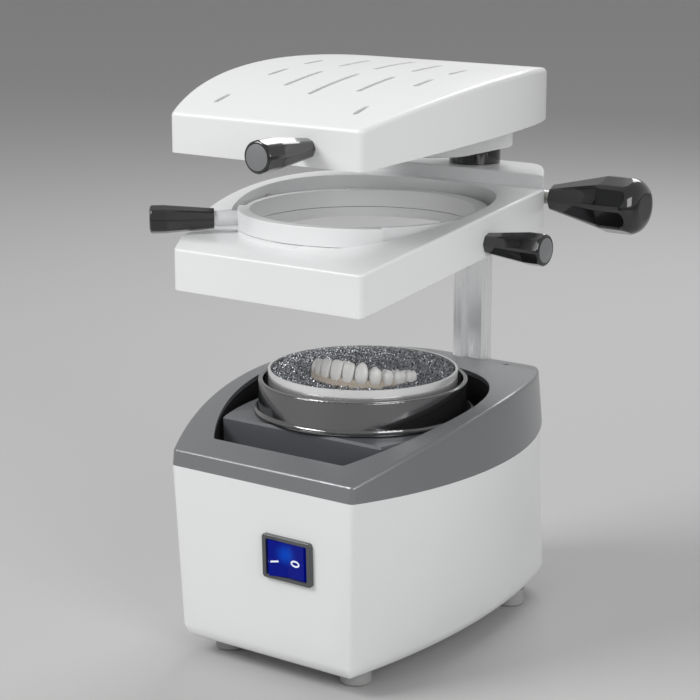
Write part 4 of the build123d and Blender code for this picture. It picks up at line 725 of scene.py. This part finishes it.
crowns = []
papillae = []
reached = 0.0
for width, depth, kind, right_height, left_height in CROWNS:
    for side, share in ((1.0, right_height), (-1.0, left_height)):
        crown = block("crown", CROWN_CUTS, CROWN_SQUARENESS[kind])
        for vertex in crown.data.vertices:
            vertex.co = crown_shape(vertex.co, kind)
            vertex.co.z += 0.5
        crown_size = (width * CROWN_CLOSENESS, depth, CROWN_HEIGHT * share)
        crown_rise = GUM_TOP - CROWN_FOOT
        on_arch(crown, reached + width / 2, crown_size, crown_rise, side, CROWN_FORWARD)
        crowns.append(crown)
        papilla = block("papilla", PAPILLA_CUTS, PAPILLA_SQUARENESS)
        on_arch(papilla, reached + width, PAPILLA_SIZE, GUM_TOP - PAPILLA_SUNK, side)
        papillae.append(papilla)
    reached += width

gum_stone = moulded("gum_stone", GUM_BEIGE, (0.45, 0.6), peel_scale=1200.0, shade=0.25)
dress(gum_stone, "cast_gum")
tooth_stone = moulded("tooth_stone", TOOTH_PALE, (0.22, 0.34), peel_scale=900.0, shade=0.08)
dress(tooth_stone, "cast_teeth")
crown_piece = gather(crowns, "carved_crowns", tooth_stone)
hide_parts("cast_teeth")
gather(papillae, "gum_margin", gum_stone)

# ------------------------------------------------------------------ granules
# The cup is filled with small nickel-plated grains, level with the rim. They lie close but
# unevenly round the cast, and their facets glint. The solid bed below them is painted near
# black as painted shade in the gaps between the grains.
GRAIN_NICKEL = (0.30, 0.31, 0.33, 1.0)
# painted shade: near-black colour of the solid bed, seen in the gaps between the grains
GRAIN_GAP_SHADE = (0.05, 0.05, 0.052, 1.0)
CUP_INNER_RADIUS = 0.0525
GRAIN_LEVEL = 0.1552
GRAIN_PITCH = 0.00185
ROW_SHARE = math.sin(math.radians(60))
GRAIN_RADIUS = 0.00105
GRAIN_SIZES = (0.75, 1.1)
GRAIN_UNEVEN = 0.3
GRAIN_HEIGHTS = (-0.3, 0.5)
GRAIN_SPIN = 6.28
GRAIN_TIP = 3.14
CAST_KEEP = 0.0032
LINE_STEP = 0.001
LINE_POINTS = 55

# The bed under the loose grains is painted near black as painted shade between them.
painted_shade_between_grains = bare_metal("painted_shade_between_grains", GRAIN_GAP_SHADE, (900.0, 900.0, 900.0), (0.5, 0.6))
dress(painted_shade_between_grains, "granules")
grain_metal = bare_metal("grain_metal", GRAIN_NICKEL, (700.0, 700.0, 700.0), (0.2, 0.4))

bpy.ops.object.select_all(action="DESELECT")
bpy.ops.mesh.primitive_ico_sphere_add(subdivisions=1, radius=GRAIN_RADIUS)
grain = bpy.context.object
grain.name = "loose_grains"
grain_points = [vertex.co.copy() for vertex in grain.data.vertices]
grain_faces = [tuple(face.vertices) for face in grain.data.polygons]

centre_line = [arch_point(index * LINE_STEP)[0] for index in range(LINE_POINTS)]
into_cast = cast_matrix.inverted()
draw = random.Random(7)
points = []
faces = []
rows = int(2 * CUP_INNER_RADIUS / (GRAIN_PITCH * ROW_SHARE)) + 1
for row in range(rows):
    for column in range(rows):
        x = (column + 0.5 * (row % 2)) * GRAIN_PITCH - CUP_INNER_RADIUS
        y = row * GRAIN_PITCH * ROW_SHARE - CUP_INNER_RADIUS
        x += draw.uniform(-GRAIN_UNEVEN, GRAIN_UNEVEN) * GRAIN_PITCH
        y += draw.uniform(-GRAIN_UNEVEN, GRAIN_UNEVEN) * GRAIN_PITCH
        z = GRAIN_LEVEL + draw.uniform(*GRAIN_HEIGHTS) * GRAIN_RADIUS
        spin = Matrix.Rotation(draw.uniform(0.0, GRAIN_SPIN), 3, "Z")
        tip = Matrix.Rotation(draw.uniform(0.0, GRAIN_TIP), 3, "X")
        size = draw.uniform(*GRAIN_SIZES)
        if math.hypot(x, y) > CUP_INNER_RADIUS - GRAIN_RADIUS:
            continue
        spot = Vector((x, y, z))
        local = into_cast @ spot
        mirrored = Vector((abs(local.x), local.y, 0.0))
        if min((mirrored - point).length for point in centre_line) < CAST_KEEP:
            continue
        first = len(points)
        turn = spin @ tip
        points.extend(spot + turn @ point * size for point in grain_points)
        faces.extend(tuple(first + index for index in face) for face in grain_faces)
grain.data.clear_geometry()
grain.data.from_pydata(points, [], faces)
grain.data.update()
grain.data.materials.append(grain_metal)
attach(grain, "cup")
